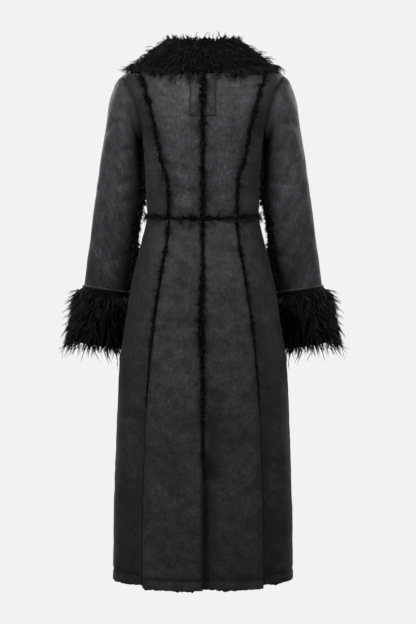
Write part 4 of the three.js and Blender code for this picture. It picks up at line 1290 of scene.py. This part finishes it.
def makePrincessStrips(side, word):
    size = seamStrips["princess"]
    width, height = size["halfWidth"], size["height"]

    def bodiceAt(angle, rise):
        return bodicePoint(onSide(side, angle), rise, side)

    def skirtAt(angle, drop):
        return skirtPoint(onSide(side, angle), drop, side)

    top = float(collarEdgeRise(size["collarAngle"])) - underCollar
    spec = {"name": f"princessStripBodice{word.capitalize()}", "node": f"princess_strip_bodice_{word}",
            "long": top, "levels": (waistGap, top), "locksPerMetre": size["locksPerMetre"],
            "halfWidth": lambda t: width * (1 + 0.45 * ease(t, 0.5, 0.9)),
            "height": lambda t: height * (1 + 0.3 * ease(t, 0.4, 0.9)),
            "longer": lambda t: 0.95 + 0.75 * bump(t - 0.38, 0.16) + 0.2 * ease(t, 0.6, 0.9),
            "bias": lambda t: 1.4 * bump(t - 0.38, 0.17)}
    seamStrip(spec, stripPlace(bodiceAt, side, princessAngle, spec), stripFur, 41 + side)
    foot = coat["waist"] - size["foot"]
    spec = {"name": f"princessStripSkirt{word.capitalize()}", "node": f"princess_strip_skirt_{word}",
            "long": foot, "levels": (waistGap, foot), "locksPerMetre": size["locksPerMetre"],
            "halfWidth": lambda t: width * (0.75 - 0.40 * ease(t, 0.3, 1)),
            "height": lambda t: height * (0.85 - 0.5 * ease(t, 0.3, 1)),
            "longer": lambda t: 0.90 - 0.45 * ease(t, 0.4, 0.9),
            "full": lambda t: 0.85 - 0.65 * ease(t, 0.5, 1)}
    seamStrip(spec, stripPlace(skirtAt, -side, skirtPrincessAngle, spec), stripFur, 51 + side)


def makeCentreStrips():
    size = seamStrips["centre"]
    width, height = size["halfWidth"], size["height"]
    top = collar["back"] - underCollar
    foot = coat["waist"] - size["foot"]
    patchRise = riseAtBack(patch["foot"])

    def bodiceAt(angle, rise):   # over the patch at the top
        flat = bodicePoint(angle, rise, np.sign(180 - angle))
        raised = size["patchLift"] * ease(rise, patchRise - 0.012, patchRise + 0.002)
        return flat + np.stack([0 * raised, raised, 0 * raised], -1)

    def skirtAt(angle, drop):
        return skirtPoint(angle, drop, np.sign(180.0 - angle))

    def straight(level):
        return 180 + 0 * level

    def leaning(level):
        return 180 - 0.9 * bump(level - 0.25, 0.09)

    def swell(t):
        return bump(t - 0.43, 0.13)

    spec = {"name": "centreStripBodice", "node": "centre_strip_bodice",
            "long": top, "levels": (waistGap, top), "locksPerMetre": size["locksPerMetre"],
            "halfWidth": lambda t: width * (0.95 + 0.35 * ease(t, 0.1, 0.8)),
            "height": lambda t: height * (0.85 + 0.25 * ease(t, 0.2, 0.8)),
            "longer": lambda t: 1 + 0.25 * ease(t, 0.3, 0.7)}
    seamStrip(spec, stripPlace(bodiceAt, 1, straight, spec), plushFur, 61)
    spec = {"name": "centreStripSkirt", "node": "centre_strip_skirt",
            "long": foot, "levels": (waistGap, foot), "locksPerMetre": size["locksPerMetre"],
            "halfWidth": lambda t: width * (0.75 + 0.5 * swell(t) - 0.3 * ease(t, 0.5, 1)),
            "height": lambda t: height * (0.75 + 0.45 * swell(t) - 0.25 * ease(t, 0.8, 1)),
            "longer": lambda t: 1 + 0.45 * swell(t) - 0.2 * ease(t, 0.6, 0.9),
            "bias": lambda t: -0.9 * swell(t)}
    seamStrip(spec, stripPlace(skirtAt, -1, leaning, spec), plushFur, 63)


def makeWaistStrip():
    size = seamStrips["waist"]
    ring = {"halfWidth": skirtRings["halfWidth"][0]}
    edge = float(frontAngleAt(ring, frontLap["over"]))

    def place(t, u):
        angle = edge + size["edge"] + (360 - size["edge"] - size["endGap"]) * t
        side = np.where(angle < 180, 1, -1)
        above = bodicePoint(angle, np.maximum(u, 0) * size["halfWidth"], side)
        below = skirtPoint(angle, np.maximum(-u, 0) * size["halfWidth"], side)
        point = np.where((u >= 0)[..., None], above, below)
        flat = unit(point * np.array([1, 1, 0]))
        out = unit(flat + np.stack([0 * u, 0 * u, size["upturn"] * u], -1))
        return point, out, np.broadcast_to(np.array([0, 0, 1.0]), point.shape)

    spec = {"name": "waistStrip", "node": "waist_strip", "long": size["long"],
            "locksPerMetre": size["locksPerMetre"],
            "height": lambda t: size["height"] * (0.85 + 0.5 * bump(t - 0.48, 0.1)),
            "longer": lambda t: 1.05 + 0.9 * bump(t - 0.47, 0.07)}
    seamStrip(spec, place, stripFur, 71)


def makeSleeveStrip(side, word):
    size = seamStrips["sleeve"]

    def bare(t):   # short fur where the sleeve hangs clear of the waist
        return np.minimum(bump(t - size["bare"], size["bareReach"]) * 2, 1)

    def turnAt(level):
        return sleeve["hindArm"] + size["turned"] + (size["turnedLow"] - size["turned"]) * ease(level, 3, 7)

    # the strip's dark fur is turned, widened and combed towards the body so that it fills the dark band
    # between sleeve and bodice, which is partly real fur and partly dark fur put where there is only shade
    spec = {"name": f"sleeveStrip{word.capitalize()}", "node": f"sleeve_strip_{word}", "long": size["long"],
            "levels": size["levels"], "locksPerMetre": size["locksPerMetre"],
            "halfWidth": lambda t: size["halfWidth"] * (0.85 + 0.55 * ease(t, 0.1, 0.4)),
            "height": lambda t: size["height"] * (2.0 - 1.3 * bare(t) - 0.8 * ease(t, 0.8, 1)),
            "longer": lambda t: 1.20 - 0.72 * bare(t) - 0.25 * ease(t, 0.9, 1), "tufts": 0.35,
            "full": lambda t: size["crowded"] + (1 - size["crowded"]) * ease(t, 0.35, 0.5),
            "towards": (-1.3, 0.3, -0.4)}
    seamStrip(spec, stripPlace(sleevePoint, -1, turnAt, spec), sleeveFur, 81, side < 0)


# Neck patch, sleeve welts, hem stitches and the fleece that curls out below the hem
stitch = {"pitch": 0.0042, "part": 0.72, "thick": 0.00045, "section": (0.5, 1, 1, 0.5)}


def stitches(path, normals):   # a row of short, sunk-in stitches: points and faces
    reach = lengthAlong(path)
    count = int(reach[-1] / stitch["pitch"])
    starts = (np.arange(count) + 0.15) * stitch["pitch"]
    t = np.linspace(0, 1, 4)
    where = starts[:, None] + t * stitch["pitch"] * stitch["part"]
    line = pointsAlong(path, reach, where)
    up = unit(pointsAlong(normals, reach, where))
    line = line + up * (stitch["thick"] * (np.sin(np.pi * t) * 0.9 - 0.2))[:, None]
    way = unit(line[:, -1:] - line[:, :1])
    side = unit(np.cross(way, up))
    turn = np.arange(4) * np.pi / 2
    thick = stitch["thick"] * np.array(stitch["section"])
    section = np.cos(turn)[:, None] * side[:, :, None] + np.sin(turn)[:, None] * up[:, :, None]
    tube = (line[:, :, None] + section * thick[:, None, None]).reshape(count, 16, 3)
    quads = [[4 * i + j, 4 * i + (j + 1) % 4, 4 * i + 4 + (j + 1) % 4, 4 * i + 4 + j]
             for i in range(3) for j in range(4)]
    quads += [[3, 2, 1, 0], [12, 13, 14, 15]]
    base = (np.arange(count) * 16)[:, None, None]
    return tube.reshape(-1, 3), (base + np.array(quads)).reshape(-1, 4)


def riseAtBack(height):
    return float(np.interp(height, bodiceRings["backZ"], bodiceRings["rise"]))


patch = {
    "halfWidth": 0.032, "foot": -0.156, "thickness": 0.0012, "lift": 0.0005, "stitchIn": 0.003, "step": 0.004,
    "edgeShade": 0.8, "footShade": 0.55, "cut": 0.98,
}
welt = {
    "down": np.array([-1, -0.98, -0.85, -0.6, -0.35, -0.15, -0.07, -0.07]) * 0.008,
    "up": np.array([0.0008, 0.0018, 0.0030, 0.0034, 0.0034, 0.0026, 0.0014, 0.0008]),
    # the welt darkens at its top and bottom edges: dark seam lines with painted shade where it meets the
    # sleeve and the cuff
    "shadeFromEdge": (0, 0.002, 0.006, 0.02, 0.02, 0.006, 0.002, 0), "uneven": 0.12, "cut": 0.0105,
}


def makePatch():
    foot = riseAtBack(patch["foot"])

    def pointAt(angle, rise):
        flat = bodicePoint(angle, rise, 1)
        return flat + outward(bodicePoint, angle, rise, 1) * (patch["lift"] + patch["thickness"])

    def edges(rise):
        ring = rowAt(bodiceRings, "rise", rise)
        return angleAt(ring, patch["halfWidth"]), angleAt(ring, -patch["halfWidth"])

    levels = evenLevels(foot, collar["back"] - underCollar, patch["step"])
    low, high = edges(levels)
    k = np.linspace(0, 1, 17)
    angle = low[:, None] + (high - low)[:, None] * k
    level = levels[:, None] + 0 * k
    points, normals = pointAt(angle, level), outward(pointAt, angle, level, 1)
    across = np.abs(k - 0.5) * 2
    fromFoot = (levels - foot)[:, None]
    fromSide = (1 - across)[None, :] * patch["halfWidth"]
    rim = np.minimum(fromFoot + 0 * fromSide, fromSide)
    relief = 0.0007 * bump(rim - 0.0016, 0.0016) - 0.0006 * bump(rim - patch["stitchIn"] - 0.001, 0.0012)
    relief = relief + 0.0004 * softNoise(points, 0.02) * ease(rim, 0, 0.01)
    outer = points + normals * relief[..., None]
    inner = points - normals * patch["thickness"]
    clothMap = np.stack([points[..., 0] + 9, points[..., 2], 0 * points[..., 0]], -1)
    # painted shadow along the patch's rim, wider at its foot
    seam = np.minimum(fromFoot * patch["footShade"] + 0 * fromSide, fromSide * patch["edgeShade"])
    width = float(lengthAlong(points, 1)[:, -1].max())
    length = float(lengthAlong(points, 0)[-1].mean())
    piece = shellPiece("neckPatch", outer, inner, False, clothMap, seam, ["cloth"])
    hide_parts("back_neck_patch")
    return [np.concatenate([grid[::-1, 1], grid[1, 1:-1], grid[:, -2]]) for grid in (outer, normals)]


def makeWelt(side, word):
    turns = np.linspace(0, 360, 121)[:-1]
    down, up = welt["down"], welt["up"]
    ring = cuffPoint(turns[:, None], down[None, :], up[None, :])
    wave = 1 + welt["uneven"] * softNoise(ring, 0.012, 3.1)
    ring = cuffPoint(turns[:, None], down[None, :], up[None, :] * wave)
    part = bentSurface(ring, True, 0)
    if side < 0:
        mirrorPart(part)
    run, depth = np.repeat(turns, len(down)) * 0.001, np.tile(down, len(turns))
    values = {"clothMap": np.stack([run, depth, 0 * depth], -1),
              "seamShadeDistance": np.tile(np.array(welt["shadeFromEdge"]), len(turns))}
    name = f"sleeveWelt{word.capitalize()}"
    piece = newPiece(name, part["points"], part["quads"].tolist(), ["cloth"], None, values)
    around = float(lengthAlong(np.concatenate([ring[:, 3], ring[:1, 3]]))[-1])
    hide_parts(f"sleeve_welt_{word}")


hemFleece = {
    "strands": 2, "rings": 3, "length": (0.004, 0.008), "bendBy": 0.7, "curl": (0.0012, 0.0026),
    "turns": (0.6, 1.2), "tuft": 0.0016, "clump": 0.6, "fray": 0.0008, "shortest": 0.6, "thick": 0.0006,
    "perMetre": 420, "spread": 0.5,
}
hemRoll = {
    "radius": 0.0026, "lumpSize": 0.0050, "lumps": 0.7, "below": 0.0010, "hidden": 0.0030, "step": 0.0018,
    "endGap": 0.0015, "tone": 0.7, "hangSize": 0.045,
}


def hangsLow(points):   # 0 where the fleece stays hidden, 1 where it shows below the hem
    return ease(softNoise(points, hemRoll["hangSize"], 5.1), -0.35, 0.15)


def rolledEdge(edge, normals, shift):   # lumpy roll along the inner hem edge
    reach = lengthAlong(edge)
    spot = np.linspace(hemRoll["endGap"], reach[-1] - hemRoll["endGap"], round(reach[-1] / hemRoll["step"]))
    line = pointsAlong(edge, reach, spot)
    out = unit(pointsAlong(normals, reach, spot))
    hangs = hangsLow(line)
    size = 1 + hemRoll["lumps"] * softNoise(line, hemRoll["lumpSize"], shift)
    radius = hemRoll["radius"] * size * (0.5 + 0.5 * hangs)
    down = np.array([0, 0, -1.0])
    middle = line - out * hemRoll["radius"] * 0.9
    middle = middle + down * (hemRoll["below"] * size - hemRoll["hidden"] * (1 - hangs))[:, None]
    turn = np.arange(8) * np.pi / 4
    ring = np.cos(turn)[:, None] * out[:, None] + np.sin(turn)[:, None] * down
    part = bentSurface(middle[:, None] + ring * radius[:, None, None], False, 0)
    part["tone"] = np.full(len(part["points"]), hemRoll["tone"])
    return part


def makeHem(grids):
    draw = np.random.default_rng(91)
    tubes, roots, outs, longer, rolls = [], [], [], [], []
    row = max(1, round(cloth["hemStitch"] / cloth["step"]))
    for outer in grids:
        normals = unit(np.cross(outer[-2, 1:] - outer[-2, :-1], outer[-1, 1:] - outer[-2, 1:]))
        centre = outer[-1].mean(0) * np.array([0, 0, 1])
        if (normals * (outer[-1, 1:] - centre)).sum() < 0:
            normals = -normals
        normals = np.concatenate([normals, normals[-1:]])
        tubes.append(stitches(outer[-1 - row], normals))
        edge = outer[-1] - normals * coat["wall"]
        rolls.append(rolledEdge(edge, normals, 2.0 + len(rolls)))
        reach = lengthAlong(edge)
        count = int(reach[-1] * hemFleece["perMetre"])
        spot = draw.uniform(0, reach[-1], count)
        out = unit(pointsAlong(normals, reach, spot))
        root = pointsAlong(edge, reach, spot)
        roots.append(root - out * draw.uniform(0, 0.003, (count, 1)) + np.array([0, 0, 0.004]))
        outs.append(out)
        longer.append(0.5 + 0.9 * hangsLow(root))
    root, out = np.concatenate(roots), np.concatenate(outs)
    lean = np.array([0, 0, -1.0]) + draw.normal(0, hemFleece["spread"], (len(root), 3))
    spots = {"root": root, "out": -out * 0.6 + np.array([0, 0, -0.8]), "lean": lean,
             "longer": np.concatenate(longer)}
    furPiece("hemFleece", rolls + [growLocks(spots, hemFleece, 92, 1)], ["hemCurl", "seamFur"])
    return tubes


def makeStitches(tubes):
    starts = np.cumsum([0] + [len(points) for points, _ in tubes])
    faces = np.concatenate([quads + start for (_, quads), start in zip(tubes, starts)])
    piece = newPiece("stitches", np.concatenate([points for points, _ in tubes]), faces.tolist(), ["thread"])


sides = (("left", 1), ("right", -1))
addCamera()
addLamps()
addStudio()
materials = makeMaterials()
print("materials made")
hemGrids = []
for word, side in sides:
    makeBodice(side, word)
    hemGrids += makeSkirt(side, word)
    makeSleeve(side, word)
print("cloth made")
sewn = [stitches(*makePatch())]
for word, side in sides:
    makeWelt(side, word)
sewn += makeHem(hemGrids)
makeStitches(sewn)
print("sewing made")
makeCollar()
for word, side in sides:
    makeCuff(side, word)
print("collar and cuffs made")
for word, side in sides:
    makePrincessStrips(side, word)
    makeSleeveStrip(side, word)
makeCentreStrips()
makeWaistStrip()
print("seam strips made")

scene.view_settings.view_transform = "Standard"
